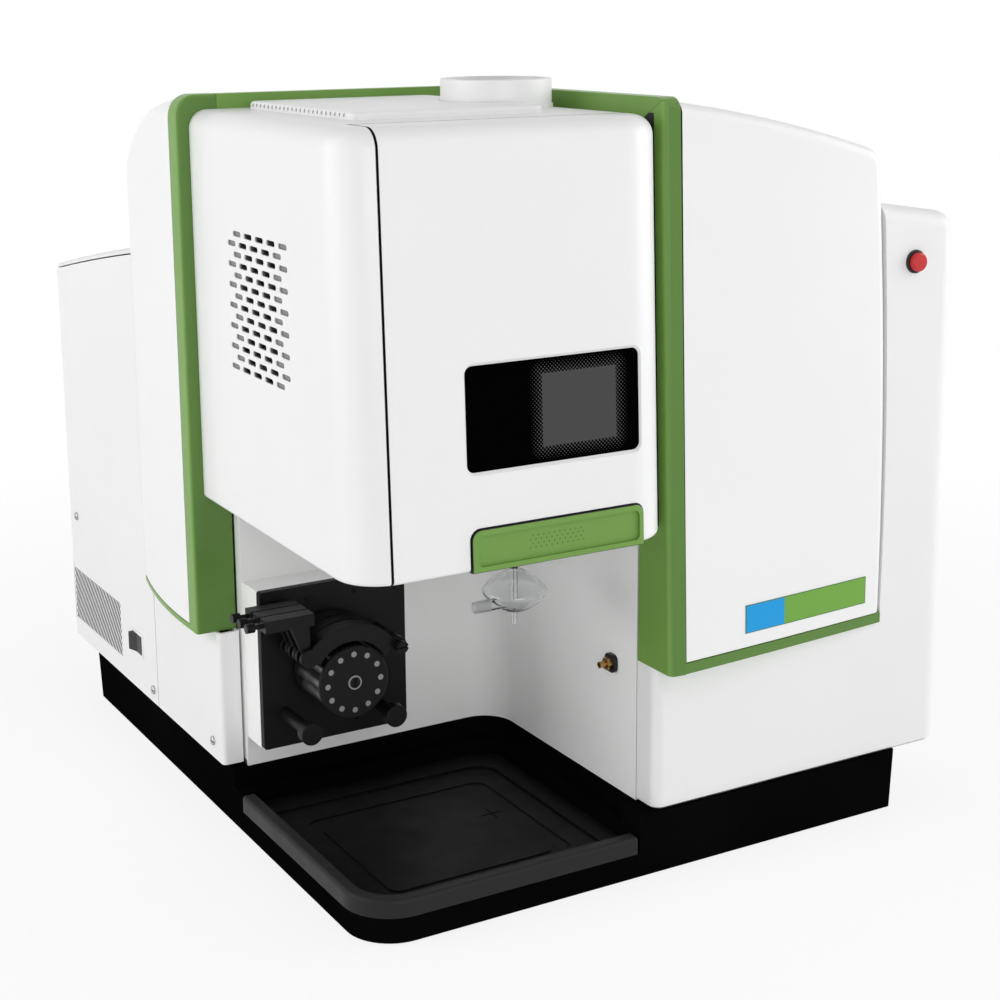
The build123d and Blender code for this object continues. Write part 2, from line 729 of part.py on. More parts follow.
box_skin = front_block(0, box_round) - front_block(cover_wall, box_round - cover_wall)
door_zone = leaned(block(door_left, box_right + overrun, box_front - overrun, box_front + door_depth,
                         box_floor - box_round, box_roof + box_round))
door_room = leaned(block(door_left - door_gap, box_right + overrun, box_front - overrun,
                         box_front + door_depth + door_gap, box_floor - box_round, box_roof + box_round))
box_shell = box_skin - door_room
box_shell -= rod_z(chimney_x, chimney_y, box_roof - overrun * 2, box_roof + overrun, chimney_neck + seat)
box_shell -= rod_z(torch_x, torch_y, box_floor - overrun, box_floor + overrun, floor_hole_radius)
slots = []
for row in range(vent_row_count):
    for column in range(vent_column_count):
        y = vent_box_rear - (column + row % 2 / 2) * vent_box_pitch_y
        z = vent_box_low + row * vent_box_pitch_z
        depth = overrun if 0 < column < vent_column_count - 1 else vent_blind_depth
        slots.append(slot_y(box_left - overrun, box_side(y) + depth, y, z, vent_box_length, vent_box_height))
box_shell -= Compound(children=slots)

# Torch door: hinged at its left edge, with a dark window and a green pull along its foot
window_left = 86
window_right = 260
window_low = 430
window_high = 521
window_corner = 7
window_rebate = 6
window_lip = 2.4
window_edge = 0.2
glass_thickness = 3
pull_left = 87
pull_right = 261
pull_high = 381
pull_corner = 9
pull_proud = 2.5
pull_thickness = 12
pull_border = 5
pull_dish = 3
hinge_offset = 11.5
hinge_setback = 6.5
hinge_pin_radius = 1.8
knuckle_radius = 3.2
knuckle_length = 26
hinge_margin = 60
lug_length = 10
lug_left = 2.5
lug_right = 5
hinge_x = door_left + hinge_offset
hinge_y = box_front + hinge_setback
hinge_heights = (box_floor + hinge_margin, box_roof - hinge_margin - knuckle_length)

door = box_skin & door_zone


def window_prism(grow, y0, y1):
    corner = window_corner + grow
    return front_prism([(window_left - grow, window_low - grow, corner),
                        (window_right + grow, window_low - grow, corner),
                        (window_right + grow, window_high + grow, corner),
                        (window_left - grow, window_high + grow, corner)], y0, y1)


def pull_prism(grow, low, y0, y1):
    corner = pull_corner + grow
    return front_prism([(pull_left - grow, low), (pull_right + grow, low),
                        (pull_right + grow, pull_high + grow, corner),
                        (pull_left - grow, pull_high + grow, corner)], y0, y1)


window_frame = leaned(window_prism(window_rebate, box_front + cover_wall,
                                   box_front + cover_wall + glass_thickness + window_rebate))
door += window_frame
door -= leaned(window_prism(0, box_front - overrun, box_front + door_depth))
window_bevel = window_prism(window_lip, box_front - window_lip, box_front + window_lip)
window_bevel = chamfer(window_bevel.faces().sort_by(Axis.Y)[-1].edges(), window_lip - window_edge)
door -= leaned(window_bevel)
door -= leaned(window_prism(window_rebate / 2, box_front + cover_wall,
                            box_front + cover_wall + glass_thickness + window_rebate + overrun))
door -= leaned(pull_prism(shadow_gap, box_floor - box_round, box_front - overrun,
                          box_front + pull_thickness))
bottom_lip = leaned(block(pull_left - shadow_gap, pull_right + shadow_gap, box_front - overrun,
                          box_front + pull_thickness, box_floor - box_round, box_floor + box_round))
door -= bottom_lip
pull_sides = leaned(pull_prism(window_rebate, box_floor + overrun, box_front + cover_wall,
                               box_front + pull_thickness + cover_wall)
                    - pull_prism(shadow_gap, box_floor - box_round, box_front,
                                 box_front + pull_thickness))
door += pull_sides
for z in hinge_heights:
    knuckle = rod_z(hinge_x, hinge_y, z, z + knuckle_length, knuckle_radius)
    web = block(hinge_x - knuckle_radius, hinge_x + knuckle_radius, box_front + cover_wall / 2, hinge_y,
                z, z + knuckle_length)
    bore = rod_z(hinge_x, hinge_y, z - overrun, z + knuckle_length + overrun, hinge_pin_radius + running_gap)
    door += leaned(knuckle + web)
    door -= leaned(bore)
parts["torch_door"] = door

glass_front = box_front + cover_wall
parts["door_window"] = leaned(window_prism(window_rebate / 2 - seat, glass_front,
                                           glass_front + glass_thickness))

pull_low = box_floor - 1
pull_body = pull_prism(0, pull_low, box_front - pull_proud, box_front + pull_thickness)
dish = front_prism([(pull_left + pull_border, pull_low + pull_border, pull_border),
                    (pull_right - pull_border, pull_low + pull_border, pull_border),
                    (pull_right - pull_border, pull_high - pull_border, pull_border),
                    (pull_left + pull_border, pull_high - pull_border, pull_border)],
                   box_front - pull_proud - overrun, box_front - pull_proud + pull_dish)
pull_body = chamfer(pull_body.edges().filter_by(Axis.X).group_by(Axis.Y)[0], pull_proud / 2)
parts["door_pull"] = leaned(pull_body - dish)

# Door jamb inside the torch box, with the lugs that hold the hinge pins
jamb_front = box_front + door_depth + door_gap
jamb = leaned(block(box_left - overrun, hinge_x + lug_right, jamb_front, jamb_front + cover_wall,
                    box_floor - overrun, box_roof + box_round))
box_shell += jamb & front_block(cover_wall / 2, box_round - cover_wall / 2)
pins = []
for z in hinge_heights:
    pin_low = z - seat - lug_length
    pin_high = z + knuckle_length + seat + lug_length
    pins.append(leaned(rod_z(hinge_x, hinge_y, pin_low, pin_high, hinge_pin_radius)))
    for low in (pin_low, pin_high - lug_length):
        lug = rod_z(hinge_x, hinge_y, low, low + lug_length, knuckle_radius)
        lug += block(hinge_x - lug_left, hinge_x + lug_right, hinge_y, jamb_front + cover_wall / 2,
                     low, low + lug_length)
        lug -= rod_z(hinge_x, hinge_y, low - overrun, low + lug_length + overrun, hinge_pin_radius)
        box_shell += leaned(lug)
parts["torch_box_shell"] = box_shell
parts["door_hinge_pins"] = Compound(children=pins)

# Roof vent plate and exhaust collar
vent_plate_left = 38
vent_plate_right = 230
vent_plate_front = 75
vent_plate_back = 305
vent_plate_height = 7
vent_plate_corner = 12
vent_hole_radius = 1.8
vent_hole_pitch = 9
collar_radius = 52.4
collar_foot_radius = 53.6
collar_foot_height = 3.5
collar_bore = 46.5
collar_height = 27
collar_round = 1.5

vent_plate = plan_prism([(vent_plate_left, vent_plate_front, vent_plate_corner),
                         (vent_plate_right, vent_plate_front, vent_plate_corner),
                         (vent_plate_right, vent_plate_back, vent_plate_corner),
                         (vent_plate_left, vent_plate_back, vent_plate_corner)],
                        box_roof, box_roof + vent_plate_height)
vent_plate = fillet(vent_plate.edges().group_by(Axis.Z)[-1], vent_plate_height / 2)
side_holes = round((vent_plate_back - vent_plate_front - vent_plate_corner * 2) / vent_hole_pitch)
holes = []
for step in range(side_holes):
    y = vent_plate_front + vent_plate_corner + (step + 1 / 2) * vent_hole_pitch
    for edge in (vent_plate_left, vent_plate_right):
        holes.append(rod_x(edge - vent_plate_corner, edge + vent_plate_corner, y,
                           box_roof + vent_hole_radius * 2, vent_hole_radius))
vent_plate -= Compound(children=holes)
vent_plate -= rod_z(chimney_x, chimney_y, box_roof - overrun, box_roof + vent_plate_height + overrun,
                    collar_foot_radius + seat)
parts["roof_vent_plate"] = vent_plate

neck_length = 15
plenum_lap = 6
neck_low = box_roof - neck_length
collar = (rod_z(chimney_x, chimney_y, box_roof, box_roof + collar_height, collar_radius)
          + rod_z(chimney_x, chimney_y, neck_low, box_roof, chimney_neck)
          + rod_z(chimney_x, chimney_y, box_roof, box_roof + collar_foot_height, collar_foot_radius))
collar = fillet(collar.edges().group_by(Axis.Z)[-1], collar_round)
collar -= rod_z(chimney_x, chimney_y, neck_low - overrun, box_roof + collar_height + overrun, collar_bore)
parts["exhaust_collar"] = collar

# Exhaust plenum: a sheet steel hood over the torch that feeds the collar
plenum_left = 150
plenum_right = 292
plenum_front = 30
plenum_back = 250
plenum_top = neck_low + plenum_lap
plenum_height = 50
plenum_inlet = 42
plenum = block(plenum_left, plenum_right, plenum_front, plenum_back, plenum_top - plenum_height, plenum_top)
plenum -= block(plenum_left + sheet, plenum_right - sheet, plenum_front + sheet, plenum_back - sheet,
                plenum_top - plenum_height + sheet, plenum_top - sheet)
plenum -= rod_z(chimney_x, chimney_y, plenum_top - overrun, plenum_top + overrun, chimney_neck + running_gap)
plenum -= rod_z(torch_x, torch_y, plenum_top - plenum_height - overrun, plenum_top - plenum_height + overrun,
                plenum_inlet)
parts["exhaust_plenum"] = plenum

# Torch, its mount and the induction plates of the generator
mount_low = 372
mount_height = 20
mount_width = 36
torch_radius = 10
torch_wall = 1
torch_height = 170
inner_tube_radius = 7
injector_radius = 3
injector_bore = 1
plate_level_share = 1 / 3
plate_spacing_share = 4 / 15
plate_thickness = 3
plate_width = 64
plate_hole = 13
plate_front = 54
plate_slot = 4
generator_front = 190
generator_left = 146
generator_right = 256
generator_low_share = 0.29
generator_high_share = 0.625

mount_top = mount_low + mount_height
hood_room = plenum_top - plenum_height - mount_top
generator_low = mount_top + hood_room * generator_low_share
generator_high = mount_top + hood_room * generator_high_share
plate_level = generator_low + (generator_high - generator_low) * plate_level_share
plate_spacing = (generator_high - generator_low) * plate_spacing_share
mount = block(torch_x - mount_width / 2, torch_x + mount_width / 2, torch_y - mount_width / 2,
              box_back - cover_wall, mount_low, mount_low + mount_height)
mount = rounded(mount, Axis.Z, [(torch_x - mount_width / 2, torch_y - mount_width / 2),
                                (torch_x + mount_width / 2, torch_y - mount_width / 2)], mount_width / 3)
mount -= rod_z(torch_x, torch_y, mount_low - overrun, mount_low + mount_height + overrun,
               torch_radius + running_gap)
parts["torch_mount"] = mount

torch_low = mount_low
torch = (rod_z(torch_x, torch_y, torch_low, torch_low + torch_height, torch_radius)
         - rod_z(torch_x, torch_y, torch_low + mount_height, torch_low + torch_height + overrun,
                 torch_radius - torch_wall))
torch += (rod_z(torch_x, torch_y, torch_low + mount_height, torch_low + torch_height * 3 / 4,
                inner_tube_radius)
          - rod_z(torch_x, torch_y, torch_low + mount_height, torch_low + torch_height,
                  inner_tube_radius - torch_wall))
torch -= rod_z(torch_x, torch_y, torch_low - overrun, torch_low + torch_height, injector_radius + running_gap)
parts["quartz_torch"] = torch
injector = rod_z(torch_x, torch_y, torch_low, torch_low + torch_height * 2 / 3, injector_radius)
injector -= rod_z(torch_x, torch_y, torch_low - overrun, torch_low + torch_height, injector_bore)
parts["injector_tube"] = injector

plates = []
for level in (plate_level, plate_level + plate_spacing):
    plate = block(torch_x - plate_width / 2, torch_x + plate_width / 2, plate_front, generator_front,
                  level, level + plate_thickness)
    plate -= rod_z(torch_x, torch_y, level - overrun, level + plate_thickness + overrun, plate_hole)
    plate -= block(torch_x - plate_slot / 2, torch_x + plate_slot / 2, torch_y, generator_front + overrun,
                   level - overrun, level + plate_thickness + overrun)
    plates.append(plate)
parts["induction_plates"] = Compound(children=plates)
generator = block(generator_left, generator_right, generator_front, box_back - cover_wall,
                  generator_low, generator_high)
parts["rf_generator"] = fillet(generator.edges().filter_by(Axis.Y), cover_wall)

# Optics behind the right wing: a cast cover over the mirror, grating and detector on the shelf
optics_left = 330
optics_right = 552
optics_front = 70
optics_back = 480
optics_height = 170
optics_wall = 6
mirror_radius = 32
mirror_thickness = 12
grating_length = 90
grating_depth = 24
grating_height = 70
detector_size = 60
detector_depth = 50
optics_inset = 20

optics_top = shelf_level + optics_height
optics = block(optics_left, optics_right, optics_front, optics_back, shelf_level, optics_top)
optics -= block(optics_left + optics_wall, optics_right - optics_wall, optics_front + optics_wall,
                optics_back - optics_wall, shelf_level - overrun, optics_top - optics_wall)
parts["optics_housing"] = optics
mirror_x = optics_right - optics_wall - optics_inset * 2
mirror_y = optics_front + optics_wall + optics_inset
mirror_stand = block(mirror_x - mirror_radius / 2, mirror_x + mirror_radius / 2, mirror_y,
                     mirror_y + mirror_thickness, shelf_level, shelf_level + mirror_radius)
mirror_z = shelf_level + mirror_radius * 3 / 2
parts["collimating_mirror"] = mirror_stand + rod_y(mirror_x, mirror_y, mirror_y + mirror_thickness,
                                                   mirror_z, mirror_radius)
grating_x = optics_left + optics_wall + optics_inset
grating_y = optics_back - optics_wall - optics_inset - grating_depth
parts["echelle_grating"] = block(grating_x, grating_x + grating_length, grating_y, grating_y + grating_depth,
                                 shelf_level, shelf_level + grating_height)
detector_x = optics_left + optics_wall + optics_inset
parts["detector_module"] = block(detector_x, detector_x + detector_size, mirror_y, mirror_y + detector_depth,
                                 shelf_level, shelf_level + detector_size)

# Gas flow module and power supply on the deck
module_left = 330
module_right = 540
gas_module_front = 80
gas_module_back = 250
module_height = 120
supply_left = 20
supply_right = 290
supply_front = 560
supply_back = 760
supply_height = 110
parts["gas_flow_module"] = block(module_left, module_right, gas_module_front, gas_module_back, deck_top,
                                 deck_top + module_height)
parts["power_supply"] = block(supply_left, supply_right, supply_front, supply_back, deck_top,
                              deck_top + supply_height)

# Spray chamber: blown glass, hung from the torch mount through the box floor
chamber_neck = 3
chamber_wall = 1.2
chamber_radius = 31.5
chamber_round = 5
chamber_mid = 276
chamber_shoulder = 299
chamber_tip = 256
chamber_drain = 244
chamber_drain_radius = 2.4
chamber_dip = 268
flank_radius = 18.4
upper_flank = 290.4
lower_flank = 262.2
flank_x_share = 0.6
flank_z_share = 0.8
apex_share = 1.4
arm_radius = 5.6
arm_bore = 4
arm_tip_x = 151
arm_y = 76
arm_z = 271


def chamber_section(inset):
    """Half of the bulb's section, out from the torch's axis."""
    across = inset * flank_x_share
    along = inset * flank_z_share
    top = chamber_shoulder - inset * apex_share
    tip = chamber_tip + inset * apex_share
    rim = (chamber_radius - inset * apex_share, chamber_mid)
    upper = ThreePointArc((chamber_neck, top), (flank_radius - across, upper_flank - along), rim)
    lower = ThreePointArc(rim, (flank_radius - across, lower_flank + along), (chamber_neck, tip))
    rest = [Line((chamber_neck, tip), (0, tip)), Line((0, tip), (0, top)), Line((0, top), (chamber_neck, top))]
    face = make_face([upper, lower] + rest)
    edge = face.vertices().sort_by_distance((rim[0], rim[1], 0))[0]
    return fillet(edge, chamber_round - inset)


def chamber_bulb(inset):
    return Pos(torch_x, torch_y, 0) * revolve(Plane.XZ * chamber_section(inset), axis=Axis.Z)


chamber = chamber_bulb(0)
chamber += rod_z(torch_x, torch_y, chamber_drain, chamber_tip + chamber_wall, chamber_drain_radius)
chamber += rod_x(arm_tip_x, torch_x, arm_y, arm_z, arm_radius)
chamber -= chamber_bulb(chamber_wall)
chamber -= rod_x(arm_tip_x - overrun, torch_x - chamber_radius / 2, arm_y, arm_z, arm_bore)
chamber += rod_z(torch_x, torch_y, chamber_dip, mount_low - seat, chamber_neck)
chamber -= rod_z(torch_x, torch_y, chamber_drain - overrun, mount_low + overrun, injector_bore)
parts["spray_chamber"] = chamber

# Gas port in the bay's right wall: a brass fitting in a black surround
surround_width = 17
surround_height = 18
surround_thickness = 4
hex_radius = 6.5
hex_length = 5
nozzle_radius = 3.2
nozzle_length = 7
nozzle_bore = 1.8
surround = block(bay_right - surround_thickness, bay_right, gas_port_y - surround_width / 2,
                 gas_port_y + surround_width / 2, gas_port_z - surround_height / 2,
                 gas_port_z + surround_height / 2)
surround = fillet(surround.edges().filter_by(Axis.X), surround_width / 3)
surround -= rod_x(bay_right - overrun, bay_right + overrun, gas_port_y, gas_port_z, gas_stem_radius + seat)
parts["gas_port_surround"] = surround
hex_face = Plane.YZ.offset(bay_right - surround_thickness - hex_length) * (
    Pos(gas_port_y, gas_port_z) * RegularPolygon(hex_radius, 6))
fitting = extrude(hex_face, amount=hex_length)
fitting += rod_x(bay_right - surround_thickness - hex_length - nozzle_length, bay_right, gas_port_y,
                 gas_port_z, nozzle_radius)
fitting += rod_x(bay_right - surround_thickness - hex_length, side_bulkhead_right + overrun, gas_port_y,
                 gas_port_z, gas_stem_radius)
fitting -= rod_x(bay_right - overrun * 5, side_bulkhead_right + overrun * 2, gas_port_y, gas_port_z, nozzle_bore)
parts["gas_port_fitting"] = fitting

# Pump: a black plate on a white box, a gear motor behind, and a roller head in front
plate_left = 15
plate_right = 172.5
plate_low = 95
plate_high = 257
pump_plate_back = 268
pump_plate_thickness = 8
pump_plate_front = pump_plate_back - pump_plate_thickness
pump_front = 194
shaft_radius = 6
motor_length = 110
motor_bore_depth = 24
plate_screw_radius = 2.2
plate_screw_xs = (63, 116)
plate_screw_drop = 14

bracket = block(plate_left, plate_right, pump_plate_back, bay_back, plate_low, plate_high)
bracket -= block(plate_left + cover_wall, plate_right - cover_wall, pump_plate_back + cover_wall,
                 bay_back + overrun, plate_low + cover_wall, plate_high - cover_wall)
bracket -= rod_y(pump_x, pump_plate_back - overrun, pump_plate_back + overrun, pump_z, motor_hole_radius)
parts["pump_bracket"] = bracket

pivot_offset_x = 51
pivot_offset_z = 27
pivot_x = pump_x + pivot_offset_x
pivot_z = pump_z + pivot_offset_z
pivot_radius = 4
pivot_head_radius = 6.2
pivot_head_length = 4
post_radius = 6.5
post_head_radius = 11.3
post_head_length = 11
post_x_shares = (-1, 1)
post_offset_x = 45.4
post_offset_z = -44.5

pump_plate = block(plate_left, plate_right, pump_plate_front, pump_plate_back, plate_low, plate_high)
pump_plate = fillet(pump_plate.edges().filter_by(Axis.Y), cover_wall)
pump_plate -= rod_y(pump_x, pump_plate_front - overrun, pump_plate_back + overrun, pump_z,
                    shaft_radius + running_gap)
pump_plate -= rod_y(pivot_x, pump_plate_front - overrun, pump_plate_back + overrun, pivot_z, pivot_radius)
for x in plate_screw_xs:
    for z in (plate_low + plate_screw_drop, plate_high - plate_screw_drop):
        pump_plate -= rod_y(x, pump_plate_front - overrun, pump_plate_back + overrun, z, plate_screw_radius)
parts["pump_plate"] = pump_plate

motor = rod_y(pump_x, pump_plate_back, pump_plate_back + motor_length, pump_z, motor_radius)
motor -= rod_y(pump_x, pump_plate_back - overrun, pump_plate_back + motor_bore_depth, pump_z,
               shaft_radius + running_gap)
parts["pump_motor"] = motor

posts = []
for share in post_x_shares:
    x = pump_x + share * post_offset_x
    z = pump_z + post_offset_z
    head = rod_y(x, pump_front, pump_front + post_head_length, z, post_head_radius)
    head = chamfer(head.edges().group_by(Axis.Y)[0], pivot_radius / 4)
    posts.append(head + rod_y(x, pump_front + post_head_length, pump_plate_front, z, post_radius))
parts["pump_posts"] = Compound(children=posts)

pivot_rod = rod_y(pivot_x, pump_front, pump_plate_back, pivot_z, pivot_radius)
pivot_rod += rod_y(pivot_x, pump_front - pivot_head_length, pump_front, pivot_z, pivot_head_radius)
pivot_slot = block(pivot_x - pivot_head_radius, pivot_x + pivot_head_radius, pump_front - pivot_head_length * 2,
                   pump_front - pivot_head_length / 2, pivot_z - pivot_radius / 4, pivot_z + pivot_radius / 4)
parts["pump_pivot_rod"] = pivot_rod - pivot_slot

# Roller head: two discs on a shaft, with free rollers between them
disc_radius = 36.5
disc_thickness = 4
disc_gap = 6
roller_circle = 28.2
roller_radius = 7
roller_pin_radius = 2.8
roller_count = 12
hub_radius = 7
hub_slot_length = 9
hub_slot_width = 2.4
hub_slot_depth = 1.5
rear_disc_front = pump_plate_front - disc_gap - disc_thickness

rotor = rod_y(pump_x, pump_front, pump_front + disc_thickness, pump_z, disc_radius)
rotor = chamfer(rotor.edges().group_by(Axis.Y)[0], disc_thickness / 4)
rotor += rod_y(pump_x, rear_disc_front, rear_disc_front + disc_thickness, pump_z, disc_radius)
rotor += rod_y(pump_x, pump_front, rear_disc_front, pump_z, hub_radius * 2)
rotor += rod_y(pump_x, rear_disc_front, pump_plate_back + motor_bore_depth - cover_wall, pump_z, shaft_radius)
rollers = []
for step in range(roller_count):
    angle = 2 * math.pi * step / roller_count
    x = pump_x + roller_circle * math.cos(angle)
    z = pump_z + roller_circle * math.sin(angle)
    rotor -= rod_y(x, pump_front - overrun, rear_disc_front + disc_thickness + overrun, z,
                   roller_pin_radius + running_gap)
    roller = rod_y(x, pump_front + disc_thickness + seat, rear_disc_front - seat, z, roller_radius)
    rollers.append(roller + rod_y(x, pump_front, rear_disc_front + disc_thickness, z, roller_pin_radius))
cap_ring = rod_y(pump_x, pump_front - hub_slot_depth, pump_front, pump_z, hub_radius)
cap_ring -= block(pump_x - hub_slot_width / 2, pump_x + hub_slot_width / 2, pump_front - hub_slot_depth * 2,
                  pump_front, pump_z - hub_slot_length / 2, pump_z + hub_slot_length / 2)
parts["pump_rotor"] = rotor + cap_ring
parts["pump_rollers"] = Compound(children=rollers)

# Pressure arms over the rollers, each with a tension lever on its free end
arm_count = 3
arm_width = 15.5
arm_pitch = 17.5
arm_first = pump_front + disc_thickness + 1
arm_inner = 40
arm_outer = 57
arm_tip_radius = 9
arm_boss_radius = 8.5
tip_offset_x = -44
tip_offset_z = 29.6
tongue_width = 6
tongue_gap = 0.4
trunnion_radius = 2.5
lever_block_length = 50
lever_block_height = 12
lever_block_x = -63
lever_block_z = 68.7
lever_link_width = 7
screw_radius = 2.3
screw_head_radius = 4.6
screw_head_length = 8
screw_reach = 9

tip_x = pump_x + tip_offset_x
tip_z = pump_z + tip_offset_z
block_x = pump_x + lever_block_x
block_z = pump_z + lever_block_z
block_left = block_x - lever_block_length / 2
block_right = block_x + lever_block_length / 2


def arm_ring(radius, y0, y1):
    return rod_y(pump_x, y0, y1, pump_z, radius)


for step in range(arm_count):
    y0 = arm_first + step * arm_pitch
    y1 = y0 + arm_width
    middle = (y0 + y1) / 2
    wedge = front_prism([(pump_x, pump_z), (pivot_x, pivot_z), (pivot_x, pump_z + arm_outer * 2),
                         (tip_x, pump_z + arm_outer * 2), (tip_x, tip_z)], y0, y1)
    arm = (arm_ring(arm_outer, y0, y1) & wedge)
    arm += rod_y(pivot_x, y0, y1, pivot_z, arm_boss_radius) + rod_y(tip_x, y0, y1, tip_z, arm_tip_radius)
    arm -= arm_ring(arm_inner, y0 - overrun, y1 + overrun)
    arm -= rod_y(pivot_x, y0 - overrun, y1 + overrun, pivot_z, pivot_radius + running_gap)
    slot_low = middle - tongue_width / 2 - tongue_gap
    slot_high = middle + tongue_width / 2 + tongue_gap
    arm -= block(tip_x - arm_tip_radius * 2, tip_x + arm_tip_radius, slot_low, slot_high,
                 tip_z - arm_tip_radius * 2, tip_z + arm_outer)
    arm -= rod_y(tip_x, y0 - overrun, y1 + overrun, tip_z, trunnion_radius + running_gap)
    parts[f"pressure_arm_{step + 1}"] = arm.solids().sort_by(SortBy.VOLUME)[-1]

    link_low = middle - tongue_width / 2
    link_high = middle + tongue_width / 2
    half_link = lever_link_width / 2
    link = front_prism([(tip_x - half_link, tip_z), (tip_x + half_link, tip_z),
                        (block_right - half_link, block_z), (block_left + lever_block_length / 2, block_z)],
                       link_low, link_high)
    lever = link + rod_y(tip_x, link_low, link_high, tip_z, half_link)
    lever += rod_y(tip_x, y0 + seat, y1 - seat, tip_z, trunnion_radius)
    lever += block(block_left, block_right, y0 + seat, y1 - seat, block_z - lever_block_height / 2,
                   block_z + lever_block_height / 2)
    lever -= rod_x(block_left - overrun, block_left + lever_block_length / 2, middle, block_z, screw_radius)
    screw = rod_x(block_left - screw_reach, block_left + lever_block_length / 2, middle, block_z, screw_radius)
    screw += rod_x(block_left - screw_reach - screw_head_length, block_left - screw_reach, middle, block_z,
                   screw_head_radius)
    parts[f"tension_lever_{step + 1}"] = Compound(children=[lever, screw])

# Cooling fan behind the left side slots
fan_size = 119
fan_depth = 25
fan_y = 700
fan_z = 135
fan_bore = 56
fan_hub = 20
fan_blade_reach = 53
fan_blades = 7
fan_blade_thickness = 2.5
fan_blade_twist = 35
fan_pin_radius = 3
fan_strut = 6
fan_left = body_left + cover_wall
fan_frame = block(fan_left, fan_left + fan_depth, fan_y - fan_size / 2, fan_y + fan_size / 2,
                  fan_z - fan_size / 2, fan_z + fan_size / 2)
fan_frame = fillet(fan_frame.edges().filter_by(Axis.X), fan_strut)
fan_frame -= rod_x(fan_left - overrun, fan_left + fan_depth + overrun, fan_y, fan_z, fan_bore)
strut_left = fan_left + fan_depth - cover_wall
fan_frame += block(strut_left, fan_left + fan_depth, fan_y - fan_strut / 2, fan_y + fan_strut / 2,
                   fan_z - fan_bore - cover_wall, fan_z + fan_bore + cover_wall)
fan_frame += block(strut_left, fan_left + fan_depth, fan_y - fan_bore - cover_wall, fan_y + fan_bore + cover_wall,
                   fan_z - fan_strut / 2, fan_z + fan_strut / 2)
fan_frame += rod_x(strut_left, fan_left + fan_depth, fan_y, fan_z, fan_hub)
fan_frame += rod_x(fan_left + fan_depth / 2, strut_left, fan_y, fan_z, fan_pin_radius)
parts["fan_frame"] = fan_frame
rotor_right = strut_left - seat
rotor_left = fan_left + shadow_gap
fan_rotor = rod_x(rotor_left, rotor_right, fan_y, fan_z, fan_hub)
for step in range(fan_blades):
    blade = block(-(rotor_right - rotor_left) * 2 / 5, (rotor_right - rotor_left) * 2 / 5,
                  -fan_blade_thickness / 2, fan_blade_thickness / 2, fan_hub / 2, fan_blade_reach)
    blade = Rot(0, 0, fan_blade_twist) * blade
    turn = Rot(360 * step / fan_blades, 0, 0)
    fan_rotor += Pos((rotor_left + rotor_right) / 2, fan_y, fan_z) * turn * blade
fan_rotor -= rod_x(fan_left + fan_depth / 2 - overrun, rotor_right + overrun, fan_y, fan_z,
                   fan_pin_radius + running_gap)
parts["fan_rotor"] = fan_rotor

# Main switch on the left side
bezel_margin = 1.2
bezel_proud = 1
rocker_proud = 4.5
rocker_depth = 10
rocker_gap = 0.8
rocker_pin_radius = 1.2
bezel_wall = 2
switch_box_depth = 16
bezel = block(body_left - bezel_proud, body_left, switch_y - switch_length / 2 - bezel_margin,
              switch_y + switch_length / 2 + bezel_margin, switch_z - switch_height / 2 - bezel_margin,
              switch_z + switch_height / 2 + bezel_margin)
bezel += block(body_left, body_left + switch_box_depth, switch_y - switch_length / 2 + seat,
               switch_y + switch_length / 2 - seat, switch_z - switch_height / 2 + seat,
               switch_z + switch_height / 2 - seat)
inner_y = switch_length / 2 - bezel_wall
inner_z = switch_height / 2 - bezel_wall
bezel -= block(body_left - bezel_proud - overrun, body_left + switch_box_depth - bezel_wall, switch_y - inner_y,
               switch_y + inner_y, switch_z - inner_z, switch_z + inner_z)
rocker_axis_x = body_left + bezel_wall
pin_reach = inner_z + bezel_wall / 2
bezel -= rod_z(rocker_axis_x, switch_y, switch_z - pin_reach, switch_z + pin_reach,
               rocker_pin_radius + running_gap)
parts["switch_bezel"] = bezel
rocker_half = inner_y - rocker_gap * 2
rocker = plan_prism([(body_left - bezel_proud - rocker_proud, switch_y + rocker_half),
                     (body_left - bezel_proud, switch_y), (body_left - bezel_proud, switch_y - rocker_half),
                     (body_left + bezel_wall, switch_y - rocker_half),
                     (body_left + rocker_depth / 2, switch_y), (body_left, switch_y + rocker_half)],
                    switch_z - inner_z + rocker_gap, switch_z + inner_z - rocker_gap)
rocker += rod_z(rocker_axis_x, switch_y, switch_z - pin_reach + rocker_gap, switch_z + pin_reach - rocker_gap,
                rocker_pin_radius)
parts["main_switch"] = rocker

# Stop button on the column
button_travel = 4
button_proud = 5.5
bezel_thickness = 3
button_guide_wall = 1.8
button_guide_depth = 22
guide = rod_y(button_x, -bezel_thickness, 0, button_z, button_bezel_radius)
guide = chamfer(guide.edges().group_by(Axis.Y)[0], bezel_thickness / 3)
guide += rod_y(button_x, 0, button_guide_depth, button_z, button_hole_radius)
guide -= rod_y(button_x, -bezel_thickness - overrun, button_guide_depth - button_guide_wall, button_z,
               button_radius - button_guide_wall)
guide -= rod_y(button_x, -bezel_thickness - overrun, button_travel + seat - bezel_thickness, button_z,
               button_radius + seat)
parts["stop_button_bezel"] = guide
cap_back = -bezel_thickness
cap_dome = 2.2
cap = rod_y(button_x, cap_back - button_proud, cap_back, button_z, button_radius)
cap = fillet(cap.edges().group_by(Axis.Y)[0], cap_dome)
cap += rod_y(button_x, cap_back, button_guide_depth - button_guide_wall - button_travel - seat, button_z,
             button_radius - button_guide_wall - running_gap)
parts["stop_button"] = cap

